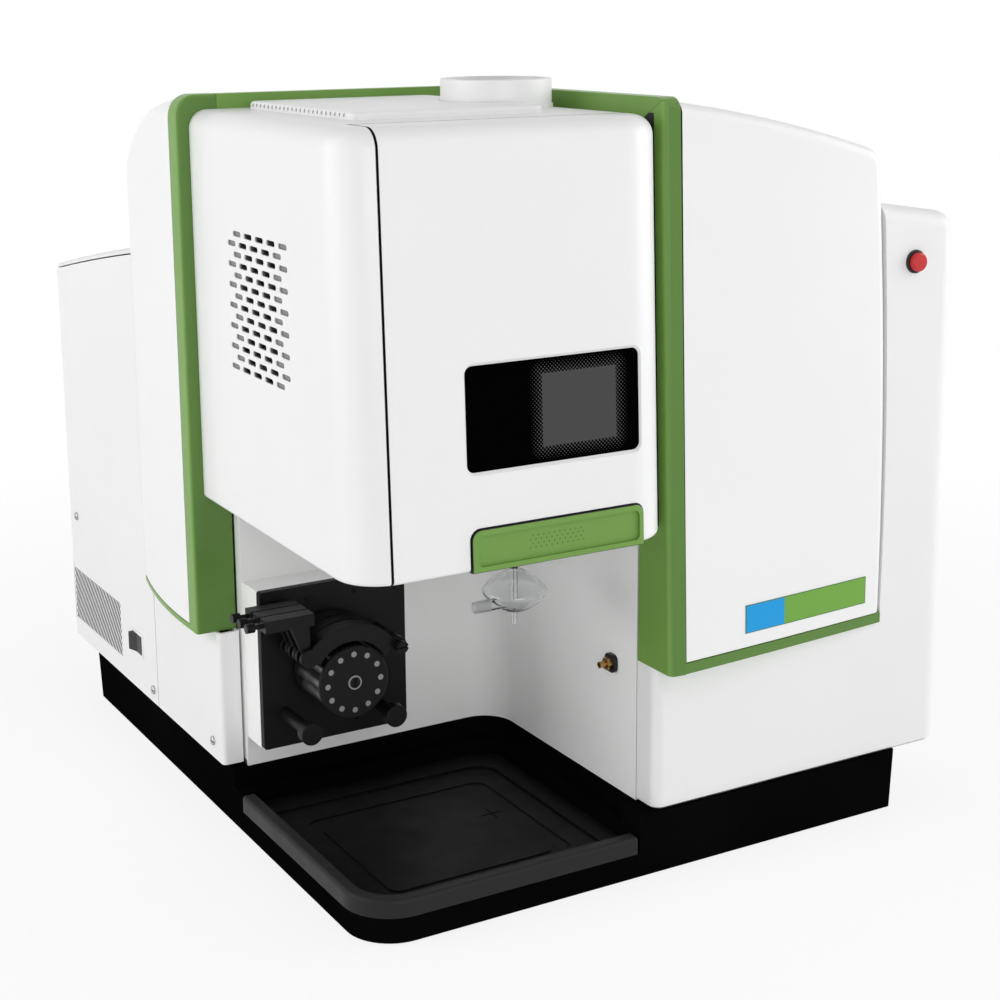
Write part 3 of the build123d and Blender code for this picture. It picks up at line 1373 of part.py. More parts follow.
# Quarter-turn screws in the left covers
screw_spots = ((510, 82), (334, 85), (758, 220))
dome_radius = 5
dome_height = 2.4
dome_slot = 1.2
shank_radius = 2
shank_length = 8
domes = []
for y, z in screw_spots:
    dome = rod_x(body_left - dome_height, body_left, y, z, dome_radius)
    dome = fillet(dome.edges().group_by(Axis.X)[0], dome_height * 2 / 3)
    dome -= block(body_left - dome_height * 2, body_left - dome_height / 2, y - dome_radius, y + dome_radius,
                  z - dome_slot / 2, z + dome_slot / 2)
    domes.append(dome + rod_x(body_left, body_left + shank_length, y, z, shank_radius))
    hole = rod_x(body_left - overrun, body_left + cover_wall + overrun, y, z, shank_radius + running_gap)
    carrier = "lower_left_cover" if y < service_seam else "left_side_panel"
    parts[carrier] -= hole
parts["quarter_turn_screws"] = Compound(children=domes)

# Inlets on the rear panel
inlet_flange = 5
inlet_proud = 3
inlet_depth = 28
inlet_wall = 4
pin_width = 2
pin_height = 4
pin_pitch = 11
socket = block(mains_x - mains_width / 2 - inlet_flange, mains_x + mains_width / 2 + inlet_flange, body_back,
               body_back + inlet_proud, mains_z - mains_height / 2 - inlet_flange,
               mains_z + mains_height / 2 + inlet_flange)
socket += block(mains_x - mains_width / 2 + seat, mains_x + mains_width / 2 - seat, body_back - inlet_depth,
                body_back, mains_z - mains_height / 2 + seat, mains_z + mains_height / 2 - seat)
socket -= block(mains_x - mains_width / 2 + inlet_wall, mains_x + mains_width / 2 - inlet_wall,
                body_back - inlet_depth + inlet_wall, body_back + overrun, mains_z - mains_height / 2 + inlet_wall,
                mains_z + mains_height / 2 - inlet_wall)
for step in (-1, 0, 1):
    x = mains_x + step * pin_pitch
    socket += block(x - pin_width / 2, x + pin_width / 2, body_back - inlet_depth + inlet_wall,
                    body_back - inlet_proud, mains_z - pin_height / 2, mains_z + pin_height / 2)
parts["mains_inlet"] = socket

inlet_hex_radius = 11
inlet_hex_length = 7
inlet_length = 16
inlet_bore = 3
inlet_tail = 18
inlets = []
for x in gas_inlet_xs:
    hexagon = Plane.XZ.offset(-body_back) * (Pos(x, gas_inlet_z) * RegularPolygon(inlet_hex_radius, 6))
    inlet = extrude(hexagon, amount=-inlet_hex_length)
    inlet += rod_y(x, body_back - inlet_tail, body_back + inlet_length, gas_inlet_z, gas_inlet_radius)
    inlet -= rod_y(x, body_back - inlet_tail - overrun, body_back + inlet_length + overrun, gas_inlet_z,
                   inlet_bore)
    inlets.append(inlet)
parts["gas_inlets"] = Compound(children=inlets)

# Each piece is moved to the part's own origin and written
left_most = body_left - wing_bulge
front_most = box_front - pull_proud
back_most = body_back + inlet_length
origin = Pos(-(left_most + body_right) / 2, -(front_most + back_most) / 2, 0)
os.makedirs("parts", exist_ok=True)
for name, shape in parts.items():
    export_step(origin * shape, f"parts/{name}.step")
print(len(parts), "pieces written")
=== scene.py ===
import math

import bpy
from mathutils import Matrix, Vector


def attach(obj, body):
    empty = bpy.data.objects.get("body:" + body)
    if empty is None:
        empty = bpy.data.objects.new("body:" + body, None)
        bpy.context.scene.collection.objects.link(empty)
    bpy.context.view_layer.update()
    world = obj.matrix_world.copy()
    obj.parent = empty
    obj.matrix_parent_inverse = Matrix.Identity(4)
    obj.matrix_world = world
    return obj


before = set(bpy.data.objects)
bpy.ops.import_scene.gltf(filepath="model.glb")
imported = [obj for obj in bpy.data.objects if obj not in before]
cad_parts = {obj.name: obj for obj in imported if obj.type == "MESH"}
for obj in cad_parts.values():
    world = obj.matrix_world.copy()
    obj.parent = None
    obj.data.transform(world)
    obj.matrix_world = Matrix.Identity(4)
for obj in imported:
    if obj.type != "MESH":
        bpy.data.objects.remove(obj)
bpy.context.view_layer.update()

# Base plinth
# The black moulded foot of the whole instrument. It is a finely textured plastic skirt that is bolted
# up under the steel deck, and its front corner drops to a shelf for the drip tray.
plinth_black = (0.003, 0.003, 0.0031)
plinth_gloss = 0.0
origin_x = 315
origin_y = 386


def on_drawing(x, y, z):
    """Turn a place in the drawing, in millimetres, into one in the scene, in metres."""
    return Vector((x - origin_x, y - origin_y, z)) / 1000


def drawn(axis, value):
    """Turn one coordinate in the drawing, in millimetres, into the scene's, in metres."""
    return on_drawing(value, value, value)["XYZ".index(axis)]


def new_finish(name, colour, rough, metal=0.0, gloss=0.5):
    finish = bpy.data.materials.new(name)
    finish.use_nodes = True
    shader = finish.node_tree.nodes["Principled BSDF"]
    shader.inputs["Base Color"].default_value = (*colour, 1)
    shader.inputs["Roughness"].default_value = rough
    shader.inputs["Metallic"].default_value = metal
    shader.inputs["Specular IOR Level"].default_value = gloss
    place = finish.node_tree.nodes.new("ShaderNodeTexCoord")
    return finish, shader, place.outputs["Object"]


def add_node(finish, kind, **settings):
    node = finish.node_tree.nodes.new("ShaderNode" + kind)
    for key, value in settings.items():
        if hasattr(node, key):
            setattr(node, key, value)
        else:
            node.inputs[key.replace("_", " ").title()].default_value = value
    return node


def join(finish, source, target):
    finish.node_tree.links.new(source, target)


def cloud(finish, where, scale, detail=3.0):
    noise = add_node(finish, "TexNoise", scale=scale, detail=detail)
    join(finish, where, noise.inputs["Vector"])
    return noise.outputs["Fac"]


def vary_colour(finish, shader, fac, low, high):
    ramp = add_node(finish, "ValToRGB")
    ramp.color_ramp.elements[0].position = 0.35
    ramp.color_ramp.elements[0].color = (*low, 1)
    ramp.color_ramp.elements[1].position = 0.65
    ramp.color_ramp.elements[1].color = (*high, 1)
    join(finish, fac, ramp.inputs["Fac"])
    join(finish, ramp.outputs["Color"], shader.inputs["Base Color"])


def spread(finish, value, start, end, low=0.0, high=1.0):
    """Carry a value from one range over to another, and hold it at the ends."""
    node = add_node(finish, "MapRange")
    node.inputs["From Min"].default_value = start
    node.inputs["From Max"].default_value = end
    node.inputs["To Min"].default_value = low
    node.inputs["To Max"].default_value = high
    join(finish, value, node.inputs["Value"])
    return node.outputs["Result"]


def vary_gloss(finish, shader, fac, low, high):
    join(finish, spread(finish, fac, 0.3, 0.7, low, high), shader.inputs["Roughness"])


def raise_grain(finish, shader, height, distance, strength=0.5):
    bump = add_node(finish, "Bump")
    bump.inputs["Strength"].default_value = strength
    bump.inputs["Distance"].default_value = distance
    join(finish, height, bump.inputs["Height"])
    join(finish, bump.outputs["Normal"], shader.inputs["Normal"])


def moulded(name, colour, rough, grain_scale, grain_depth, shade=0.06, gloss_swing=0.06, metal=0.0, gloss=0.5):
    """A finish whose shade, gloss and grain all vary a little, with its shader and its coordinates."""
    finish, shader, where = new_finish(name, colour, rough, metal, gloss)
    low = [c * (1 - shade) for c in colour]
    high = [min(1.0, c * (1 + shade)) for c in colour]
    vary_colour(finish, shader, cloud(finish, where, 5.0), low, high)
    vary_gloss(finish, shader, cloud(finish, where, 28.0), rough - gloss_swing, rough + gloss_swing)
    raise_grain(finish, shader, cloud(finish, where, grain_scale, 2.0), grain_depth)
    return finish, shader, where


def dress(finish, *names):
    for name in names:
        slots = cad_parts[name].material_slots
        for place in slots:
            place.material = finish
        if not slots:
            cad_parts[name].data.materials.append(finish)


plinth_finish = moulded("plinth_texture", plinth_black, rough=0.52, grain_scale=1500, grain_depth=0.0004,
                        shade=0.18, gloss=plinth_gloss)[0]
dress(plinth_finish, "base_plinth")

# Levelling feet
# Four rubber pads on steel studs that screw up into bosses of the plinth. They are moulded matt
# black and stand inside the skirt.
foot_finish = moulded("foot_rubber", (0.012, 0.012, 0.012), rough=0.8, grain_scale=900, grain_depth=0.0003,
                      gloss=0.2)[0]
dress(foot_finish, "levelling_feet")

# Drip tray
# A black basin moulded in one, that catches spilt liquid. Its thick rim is tinted a paler black than
# the floor, a painted sheen. It rests on the shelf of the plinth and slides off to the front.
tray_black = (0.0036, 0.0036, 0.0038)
painted_rim_sheen = (0.022, 0.022, 0.0225)
tray_corner = 46
tray_rim_reach = 36.6
rim_blur = 0.3


def pick(finish, vector, axis):
    split = add_node(finish, "SeparateXYZ")
    join(finish, vector, split.inputs["Vector"])
    return split.outputs[axis]


def work_out(finish, operation, *values):
    node = add_node(finish, "Math", operation=operation)
    for step, value in enumerate(values):
        if isinstance(value, (int, float)):
            node.inputs[step].default_value = value
        else:
            join(finish, value, node.inputs[step])
    return node.outputs["Value"]


def reach(finish, across, along):
    """The length of a run whose two parts are square to each other."""
    squares = [work_out(finish, "MULTIPLY", run, run) for run in (across, along)]
    return work_out(finish, "SQRT", work_out(finish, "ADD", *squares))


def tint_where(finish, shader, mask, colour):
    """Lay a colour over the finish where the mask is one."""
    base = shader.inputs["Base Color"].links[0].from_socket
    mix = add_node(finish, "Mix", data_type="RGBA")
    join(finish, mask, mix.inputs[0])
    join(finish, base, mix.inputs[6])
    mix.inputs[7].default_value = (*colour, 1)
    join(finish, mix.outputs[2], shader.inputs["Base Color"])


tray_finish, tray_shader, tray_place = moulded("tray_texture", tray_black, rough=0.42, grain_scale=1500,
                                               grain_depth=0.0003, shade=0.15, gloss=0.1)
# Painted sheen: the rim, out past a rounded corner of the basin, is tinted a paler black.
past_corner = []
for axis in ("X", "Y"):
    short_of = work_out(tray_finish, "SUBTRACT", drawn(axis, tray_corner), pick(tray_finish, tray_place, axis))
    past_corner.append(work_out(tray_finish, "MAXIMUM", short_of, 0.0))
rim_sheen_mask = spread(tray_finish, reach(tray_finish, *past_corner), (tray_rim_reach - rim_blur) / 1000,
                (tray_rim_reach + rim_blur) / 1000)
tint_where(tray_finish, tray_shader, rim_sheen_mask, painted_rim_sheen)
dress(tray_finish, "drip_tray")

# Chassis frame
# Zinc plated sheet steel: the deck over the plinth, two bulkheads behind the bay and the shelf for
# the optics, spot welded into one frame that every cover hangs on.
steel_finish = moulded("zinc_plate", (0.5, 0.5, 0.51), rough=0.38, grain_scale=700, grain_depth=0.0001,
                       shade=0.12, gloss_swing=0.08, metal=1.0)[0]
dress(steel_finish, "chassis_frame", "exhaust_plenum")

# Sample bay liner
# The light grey moulded wall round the back and the right of the open bay. It is screwed to the
# bulkheads, and the box that carries the pump stands out of it in the same plastic.
bay_finish = moulded("bay_grey", (0.9, 0.9, 0.895), rough=0.45, grain_scale=1100, grain_depth=0.00015,
                     shade=0.012, gloss=0.3)[0]
dress(bay_finish, "sample_bay_liner", "pump_bracket")

# Modules inside the housing
# The optics sit in a cast aluminium tub on the shelf, with the collimating mirror, the ruled
# grating and the detector in it. The gas and power modules are enamelled boxes on the deck.
ruling_pitch = 0.0011
cast_finish = moulded("cast_aluminium", (0.56, 0.57, 0.58), rough=0.5, grain_scale=800, grain_depth=0.0003,
                      shade=0.06, gloss_swing=0.08, metal=1.0)[0]
dress(cast_finish, "optics_housing", "induction_plates")
grating_finish, grating_shader, grating_place = new_finish("ruled_aluminium", (0.7, 0.7, 0.72), 0.2, 1.0)
rulings = add_node(grating_finish, "TexWave", bands_direction="X", scale=2 * math.pi / ruling_pitch / 20)
join(grating_finish, grating_place, rulings.inputs["Vector"])
vary_colour(grating_finish, grating_shader, rulings.outputs["Fac"], (0.55, 0.56, 0.6), (0.78, 0.78, 0.8))
raise_grain(grating_finish, grating_shader, rulings.outputs["Fac"], 0.0001)
dress(grating_finish, "echelle_grating")
mirror_finish = moulded("mirror_face", (0.88, 0.88, 0.88), rough=0.06, grain_scale=300, grain_depth=0.00001,
                        shade=0.01, gloss_swing=0.02, metal=1.0)[0]
dress(mirror_finish, "collimating_mirror")
module_finish = moulded("module_enamel", (0.2, 0.21, 0.23), rough=0.42, grain_scale=1200,
                        grain_depth=0.0001)[0]
dress(module_finish, "gas_flow_module", "power_supply", "detector_module", "rf_generator")

# Cooling fan
# A black axial fan in the rear left corner, moulded in glass filled plastic, that draws air through
# the slots of the left panel. Its rotor turns on a pin of the frame.
fan_finish = moulded("fan_plastic", (0.01, 0.01, 0.011), rough=0.5, grain_scale=1000, grain_depth=0.0002,
                     gloss=0.3)[0]
dress(fan_finish, "fan_frame", "fan_rotor")

# Panels
# Folded sheet steel covers in a satin white powder coat, whose surface has the fine ripple that
# such a coat dries with. The walls of the left one's slots and its inner face behind them are tinted near
# black as painted shade.
panel_white = (0.865, 0.865, 0.867)
painted_slot_shade = (0.02, 0.02, 0.02)
left_skin = -10
slot_shade_start = 0.05
slots_front = 603
slots_rear = 784
slots_low = 86
slots_high = 156


def inside(finish, mask, value, low, high):
    """Keep a mask where a value lies between two limits, and clear it elsewhere."""
    above = work_out(finish, "GREATER_THAN", value, low)
    below = work_out(finish, "LESS_THAN", value, high)
    return work_out(finish, "MULTIPLY", work_out(finish, "MULTIPLY", mask, above), below)


def inside_box(finish, mask, place, **limits):
    """Keep a mask between limits that the drawing gives for X, Y or Z, and clear it elsewhere."""
    for axis, (low, high) in limits.items():
        mask = inside(finish, mask, pick(finish, place, axis), drawn(axis, low), drawn(axis, high))
    return mask


def powder_coat(name):
    return moulded(name, panel_white, rough=0.4, grain_scale=420, grain_depth=0.00012, shade=0.008,
                   gloss_swing=0.05, gloss=0.35)


panel_finish = powder_coat("panel_powder_coat")[0]
dress(panel_finish, "lower_left_cover", "rear_panel", "right_side_panel", "right_front_panel", "top_cover")
slotted_finish, slotted_shader, slotted_place = powder_coat("slotted_powder_coat")
# Painted shade: deeper than the skin, in the slotted region, the panel is tinted near black.
skin_x = drawn("X", left_skin)
slot_shade_mask = spread(slotted_finish, pick(slotted_finish, slotted_place, "X"), skin_x + slot_shade_start / 1000,
                    skin_x + slot_shade_start / 500)
slot_shade_mask = inside_box(slotted_finish, slot_shade_mask, slotted_place, Y=(slots_front, slots_rear),
                        Z=(slots_low, slots_high))
tint_where(slotted_finish, slotted_shader, slot_shade_mask, painted_slot_shade)
dress(slotted_finish, "left_side_panel")

# Wing covers
# Two bulged white mouldings that close the front of the housing beside the torch box, and the roof
# strip that runs back from the left one. They clip to the bulkheads behind the green arch.
shell_white = (0.885, 0.885, 0.887)
# A near black used as painted shade in the gaps between parts.
painted_gap_shade = (0.012, 0.012, 0.013)
right_wing_edge = 319.95


def white_moulding(name):
    return moulded(name, shell_white, rough=0.34, grain_scale=650, grain_depth=0.00006, shade=0.006,
                   gloss_swing=0.05, gloss=0.4)


shell_finish = white_moulding("shell_moulding")[0]
dress(shell_finish, "left_wing_cover")
right_finish, right_shader, right_place = white_moulding("right_shell_moulding")
# Painted shade: the wing's edge beside the right leg is tinted near black, shade in the gap.
beside_leg = work_out(right_finish, "LESS_THAN", pick(right_finish, right_place, "X"),
                      drawn("X", right_wing_edge))
tint_where(right_finish, right_shader, beside_leg, painted_gap_shade)
dress(right_finish, "right_wing_cover")

# Torch box
# A white moulded shell and its door; their walls along the seam between them are tinted near black,
# painted shade in the gap. Below the skin the slots in its left wall are tinted grey, painted shade,
# so the blind ones among them show grey.
door_left = 13
seam_gap = 1.8
seam_depth = 13.5
lip_band = 0.3
lean = math.radians(2.2)
box_floor = 345
box_roof = 720
box_side_front = (-22.5, -36.5)
box_side_back = (-16, 316)
box_slot_front = 84
box_slot_rear = 228
box_slot_low = 488
box_slot_high = 619
box_slot_depth = 0.9
painted_box_slot_shade = (0.2, 0.2, 0.2)


def from_lean(finish, place):
    """How far back a place lies from the leaning plane through the foot of the torch door."""
    rise = work_out(finish, "SUBTRACT", pick(finish, place, "Z"), drawn("Z", box_floor))
    shift = work_out(finish, "MULTIPLY", rise, math.tan(lean))
    return work_out(finish, "SUBTRACT", pick(finish, place, "Y"), shift)


door_finish, door_shader, door_place = white_moulding("door_moulding")
# Painted shade: the door's left edge and its walls back in the seam are tinted near black.
door_edge = work_out(door_finish, "LESS_THAN", pick(door_finish, door_place, "X"),
                     drawn("X", door_left + lip_band))
door_back = work_out(door_finish, "GREATER_THAN", from_lean(door_finish, door_place),
                     drawn("Y", seam_depth - lip_band))
tint_where(door_finish, door_shader, work_out(door_finish, "MAXIMUM", door_edge, door_back), painted_gap_shade)
dress(door_finish, "torch_door")

box_finish, box_shader, box_place = white_moulding("box_moulding")
box_x = pick(box_finish, box_place, "X")
box_behind = from_lean(box_finish, box_place)
# Painted shade: the box's walls along the seam with the door are tinted near black.
gap_x = drawn("X", door_left - seam_gap - lip_band)
gap_y = drawn("Y", seam_depth + seam_gap + lip_band)
box_edge = work_out(box_finish, "MULTIPLY", work_out(box_finish, "GREATER_THAN", box_x, gap_x),
                    work_out(box_finish, "LESS_THAN", box_behind, gap_y))
tint_where(box_finish, box_shader, box_edge, painted_gap_shade)
# Painted shade: the slots in the left wall are tinted grey below the skin.
side_front = on_drawing(*box_side_front, 0)
side_back = on_drawing(*box_side_back, 0)
side_slope = (side_back.x - side_front.x) / (side_back.y - side_front.y)
box_y = pick(box_finish, box_place, "Y")
side_run = work_out(box_finish, "MULTIPLY", work_out(box_finish, "SUBTRACT", box_y, side_front.y), side_slope)
skin_depth = work_out(box_finish, "SUBTRACT", work_out(box_finish, "SUBTRACT", box_x, side_front.x), side_run)
box_slot_shade_mask = work_out(box_finish, "GREATER_THAN", skin_depth, box_slot_depth / 1000)
box_slot_shade_mask = inside_box(box_finish, box_slot_shade_mask, box_place, Y=(box_slot_front, box_slot_rear),
                     Z=(box_slot_low, box_slot_high))
tint_where(box_finish, box_shader, box_slot_shade_mask, painted_box_slot_shade)
dress(box_finish, "torch_box_shell")
dress(shell_finish, "roof_vent_plate", "exhaust_collar")

# Label plate
# A bare anodised strip in two colours, glued along the foot of the right wing, where it follows the
# wing's bowed and leaning face. It is cut from thin sheet, with a dark green rim.
label_left = 391.5
label_right = 549
label_low = 230.6
label_high = 258.2
label_joint = 440.3
label_thickness = 0.8
label_edge = 0.9
label_blue = (0.004, 0.33, 0.74)
label_green = (0.16, 0.38, 0.052)
label_rim = (0.06, 0.15, 0.03)
label_start = -60
label_columns = 64
label_rows = 12

bpy.ops.object.select_all(action="DESELECT")
label_size = on_drawing(label_right, 0, label_high) - on_drawing(label_left, 0, label_low)
label_middle = on_drawing((label_left + label_right) / 2, label_start, (label_low + label_high) / 2)
bpy.ops.mesh.primitive_grid_add(x_subdivisions=label_columns, y_subdivisions=label_rows, size=1,
                                location=label_middle, rotation=(math.pi / 2, 0, 0))
label = bpy.context.object
label.name = "label_plate"
label.scale = (label_size.x, label_size.z, 1)
bpy.ops.object.transform_apply(location=True, rotation=True, scale=True)
wrap = label.modifiers.new("lay_on_wing", "SHRINKWRAP")
wrap.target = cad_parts["right_wing_cover"]
wrap.wrap_method = "PROJECT"
wrap.use_project_y = True
wrap.use_positive_direction = True
wrap.use_negative_direction = False
bpy.ops.object.modifier_apply(modifier=wrap.name)
thicken = label.modifiers.new("sheet", "SOLIDIFY")
thicken.thickness = label_thickness / 1000
thicken.offset = 0.6
bpy.ops.object.modifier_apply(modifier=thicken.name)
soften = label.modifiers.new("edge", "BEVEL")
soften.width = label_thickness / 4000
soften.segments = 2
soften.limit_method = "ANGLE"
bpy.ops.object.modifier_apply(modifier=soften.name)
bpy.ops.object.shade_smooth_by_angle(angle=math.radians(35))
label_finish, label_shader, label_place = moulded("label_anodising", label_blue, rough=0.32,
                                                  grain_scale=1800, grain_depth=0.00003, shade=0.02,
                                                  gloss_swing=0.04, gloss=0.3)
label_x = pick(label_finish, label_place, "X")
label_z = pick(label_finish, label_place, "Z")
past_joint = work_out(label_finish, "GREATER_THAN", label_x, drawn("X", label_joint))
tint_where(label_finish, label_shader, past_joint, label_green)
label_half = label_size / 2
edge_x = work_out(label_finish, "ABSOLUTE", work_out(label_finish, "SUBTRACT", label_x, label_middle.x))
edge_z = work_out(label_finish, "ABSOLUTE", work_out(label_finish, "SUBTRACT", label_z, label_middle.z))
near_side = spread(label_finish, edge_x, label_half.x - label_edge / 1000, label_half.x - label_edge / 1500)
near_foot = spread(label_finish, edge_z, label_half.z - label_edge / 1000, label_half.z - label_edge / 1500)
tint_where(label_finish, label_shader, work_out(label_finish, "MAXIMUM", near_side, near_foot), label_rim)
label.data.materials.append(label_finish)
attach(label, "housing")

# Green arch
# Three satin green mouldings that frame the torch box: a leg on each side, which runs on under its
# wing as a thin trim, and the band over the roof. The legs' broad front faces are tinted a deeper green
# as painted shade, and the right leg's inner wall in the gap beside the box is tinted near black as painted
# shade.
arch_green = (0.163, 0.322, 0.062)
painted_leg_front_shade = (0.1, 0.215, 0.037)
leg_wall = 302
leg_band = 0.5
facing_start = -0.55
facing_full = -0.95
gap_shade_front = -2
gap_shade_rear = 16


def green_moulding(name):
    return moulded(name, arch_green, rough=0.36, grain_scale=900, grain_depth=0.00006, shade=0.04,
                   gloss_swing=0.05, gloss=0.35)


arch_finish = green_moulding("green_moulding")[0]
dress(arch_finish, "arch_top_band")
leg_finish, leg_shader, leg_place = green_moulding("green_leg_moulding")
# Painted shade: faces turned to the front are tinted a deeper green.
leg_facing = pick(leg_finish, add_node(leg_finish, "NewGeometry").outputs["Normal"], "Y")
tint_where(leg_finish, leg_shader, spread(leg_finish, leg_facing, facing_start, facing_full),
           painted_leg_front_shade)
# Painted shade: the right leg's inner wall in the gap beside the box is tinted near black.
in_gap = inside_box(leg_finish, 1.0, leg_place, X=(leg_wall - leg_band, leg_wall + leg_band),
                    Z=(box_floor, box_roof))
in_gap = inside(leg_finish, in_gap, from_lean(leg_finish, leg_place), drawn("Y", gap_shade_front),
                drawn("Y", gap_shade_rear))
tint_where(leg_finish, leg_shader, in_gap, painted_gap_shade)
dress(leg_finish, "arch_left_leg", "arch_right_leg")

# Door pull
# A shallow green scoop along the foot of the door, moulded in the colour of the arch. Four rows of
# fine dimples in the middle of its dish keep a fingertip from slipping; they are tinted a darker green as
# painted shade, and the scoop's side walls in the gap round it are tinted near black as painted shade.
pull_left = 87
pull_right = 261
pull_low = 344
pull_high = 381
pull_corner = 9
pull_edge = 0.4
dimple_left = 144
dimple_right = 199.5
dimple_low = 356
dimple_high = 370
dimple_pitch = 5.4
dimple_rows = 4
dimple_radius = 0.8
painted_dimple_shade = (0.085, 0.18, 0.033)


def past_rectangle(finish, place, left, right, low, high):
    """How far outside a rectangle, given in the drawing, a place lies."""
    centre = on_drawing((left + right) / 2, 0, (low + high) / 2)
    half = (on_drawing(right, 0, high) - on_drawing(left, 0, low)) / 2
    past = []
    for axis, middle, limit in (("X", centre.x, half.x), ("Z", centre.z, half.z)):
        off = work_out(finish, "ABSOLUTE", work_out(finish, "SUBTRACT", pick(finish, place, axis), middle))
        past.append(work_out(finish, "MAXIMUM", work_out(finish, "SUBTRACT", off, limit), 0.0))
    return reach(finish, *past)


pull_finish, pull_shader, pull_place = green_moulding("green_pull_moulding")
pull_z = pick(pull_finish, pull_place, "Z")
# Painted shade: dots in four staggered rows are tinted a darker green for the dimples.
row_pitch = (dimple_high - dimple_low) / dimple_rows / 1000
above_first = work_out(pull_finish, "SUBTRACT", pull_z, drawn("Z", dimple_low))
row_place = work_out(pull_finish, "DIVIDE", above_first, row_pitch)
row_number = work_out(pull_finish, "FLOOR", row_place)
across_row = work_out(pull_finish, "SUBTRACT", row_place, row_number)
stagger = work_out(pull_finish, "MULTIPLY", row_number, 0.5)
column_place = work_out(pull_finish, "DIVIDE", pick(pull_finish, pull_place, "X"), dimple_pitch / 1000)
column_place = work_out(pull_finish, "ADD", column_place, stagger)
column_number = work_out(pull_finish, "FLOOR", column_place)
along_row = work_out(pull_finish, "SUBTRACT", column_place, column_number)
run_x, run_z = [work_out(pull_finish, "MULTIPLY", work_out(pull_finish, "SUBTRACT", share, 0.5), pitch)
                for share, pitch in ((along_row, dimple_pitch / 1000), (across_row, row_pitch))]
in_dimple = spread(pull_finish, reach(pull_finish, run_x, run_z), dimple_radius / 700, dimple_radius / 1300)
in_field = inside_box(pull_finish, in_dimple, pull_place, X=(dimple_left, dimple_right),
                      Z=(dimple_low, dimple_high))
tint_where(pull_finish, pull_shader, in_field, painted_dimple_shade)
# Painted shade: the scoop's side walls and foot are tinted near black, shade in the gap round it.
from_core = past_rectangle(pull_finish, pull_place, pull_left + pull_corner, pull_right - pull_corner,
                           pull_low - pull_corner, pull_high - pull_corner)
side_edge = work_out(pull_finish, "GREATER_THAN", from_core, (pull_corner - pull_edge) / 1000)
foot_edge = work_out(pull_finish, "LESS_THAN", pull_z, drawn("Z", pull_low + pull_edge))
tint_where(pull_finish, pull_shader, work_out(pull_finish, "MAXIMUM", side_edge, foot_edge), painted_gap_shade)
dress(pull_finish, "door_pull")

# Torch door window
# A plate of dark filter glass behind the door's opening. A black border is fired on its back, which
# thins out in fine dots round the clear square that looks in on the torch.
clear_left = 161.7
clear_right = 236.2
clear_low = 444
clear_high = 507
border_fade = 13
dot_pitch = 3.6
dot_fill = 0.5
dot_blur = 0.06
square_edge = 0.2
window_black = (0.0001, 0.0001, 0.0001)
clear_grey = (0.074, 0.074, 0.074)

window_finish, window_shader, window_place = moulded("window_glass", window_black, rough=0.2,
                                                     grain_scale=200, grain_depth=0.00001, shade=0.1,
                                                     gloss_swing=0.04, gloss=0.004)
past_square = past_rectangle(window_finish, window_place, clear_left, clear_right, clear_low, clear_high)
dot_share = spread(window_finish, past_square, 0.0, border_fade / 1000, dot_fill, 0.0)
dot_turn = 2 * math.pi / dot_pitch * 1000
window_x = pick(window_finish, window_place, "X")
window_z = pick(window_finish, window_place, "Z")
diagonals = [work_out(window_finish, operation, window_x, window_z) for operation in ("ADD", "SUBTRACT")]
wave_x, wave_z = [work_out(window_finish, "SINE", work_out(window_finish, "MULTIPLY", diagonal, dot_turn))
                  for diagonal in diagonals]
dot_height = spread(window_finish, work_out(window_finish, "ADD", wave_x, wave_z), -2.0, 2.0)
in_dots = spread(window_finish, work_out(window_finish, "SUBTRACT", dot_share, dot_height), -dot_blur, dot_blur)
in_square = work_out(window_finish, "LESS_THAN", past_square, square_edge / 1000)
in_clear = work_out(window_finish, "MAXIMUM", in_dots, in_square)
tint_where(window_finish, window_shader, in_clear, clear_grey)
dress(window_finish, "door_window")

# Torch and generator
# A quartz torch in an insulating block, with the ceramic injector in it and the two flat plates of
# the generator round it. All of it stands inside the torch box. The spray chamber under it is blown
# glass, and the end of its side arm is ground matt.
glass_index = 1.46
frosted_to = 166
frosted_rough = 0.55
ceramic_finish = moulded("ceramic_block", (0.78, 0.77, 0.72), rough=0.6, grain_scale=900,
                         grain_depth=0.0002)[0]
dress(ceramic_finish, "torch_mount", "injector_tube")
glass_finish, glass_shader = moulded("blown_glass", (0.94, 0.95, 0.95), rough=0.04, grain_scale=60,
                                     grain_depth=0.00004, shade=0.004, gloss_swing=0.02)[:2]
dress(glass_finish, "quartz_torch")
chamber_finish, chamber_shader, chamber_place = moulded("chamber_glass", (0.95, 0.96, 0.96), rough=0.03,
                                                        grain_scale=60, grain_depth=0.00004, shade=0.004,
                                                        gloss_swing=0.02)
frost = spread(chamber_finish, pick(chamber_finish, chamber_place, "X"), drawn("X", frosted_to + 1),
               drawn("X", frosted_to), 0.0, frosted_rough)
smooth = chamber_shader.inputs["Roughness"].links[0].from_socket
join(chamber_finish, work_out(chamber_finish, "MAXIMUM", smooth, frost), chamber_shader.inputs["Roughness"])
dress(chamber_finish, "spray_chamber")
for shader in (glass_shader, chamber_shader):
    shader.inputs["Transmission Weight"].default_value = 1.0
    shader.inputs["IOR"].default_value = glass_index

# Peristaltic pump
# A satin black pump head on a plate: three pressure arms with their screws press the tubes on a
# roller head, which a motor in the box behind turns. The rollers' pins and a ring on the head's cap
# are bare steel.
pump_black = (0.0065, 0.0065, 0.007)
cap_ring_centre = (83.4, 174.2)
cap_ring_inner = 5.6
cap_ring_outer = 7.2
cap_front = 193.7
ring_steel = (0.3, 0.3, 0.3)


def pump_moulding(name):
    return moulded(name, pump_black, rough=0.36, grain_scale=1200, grain_depth=0.00012, shade=0.15,
                   gloss=0.14)


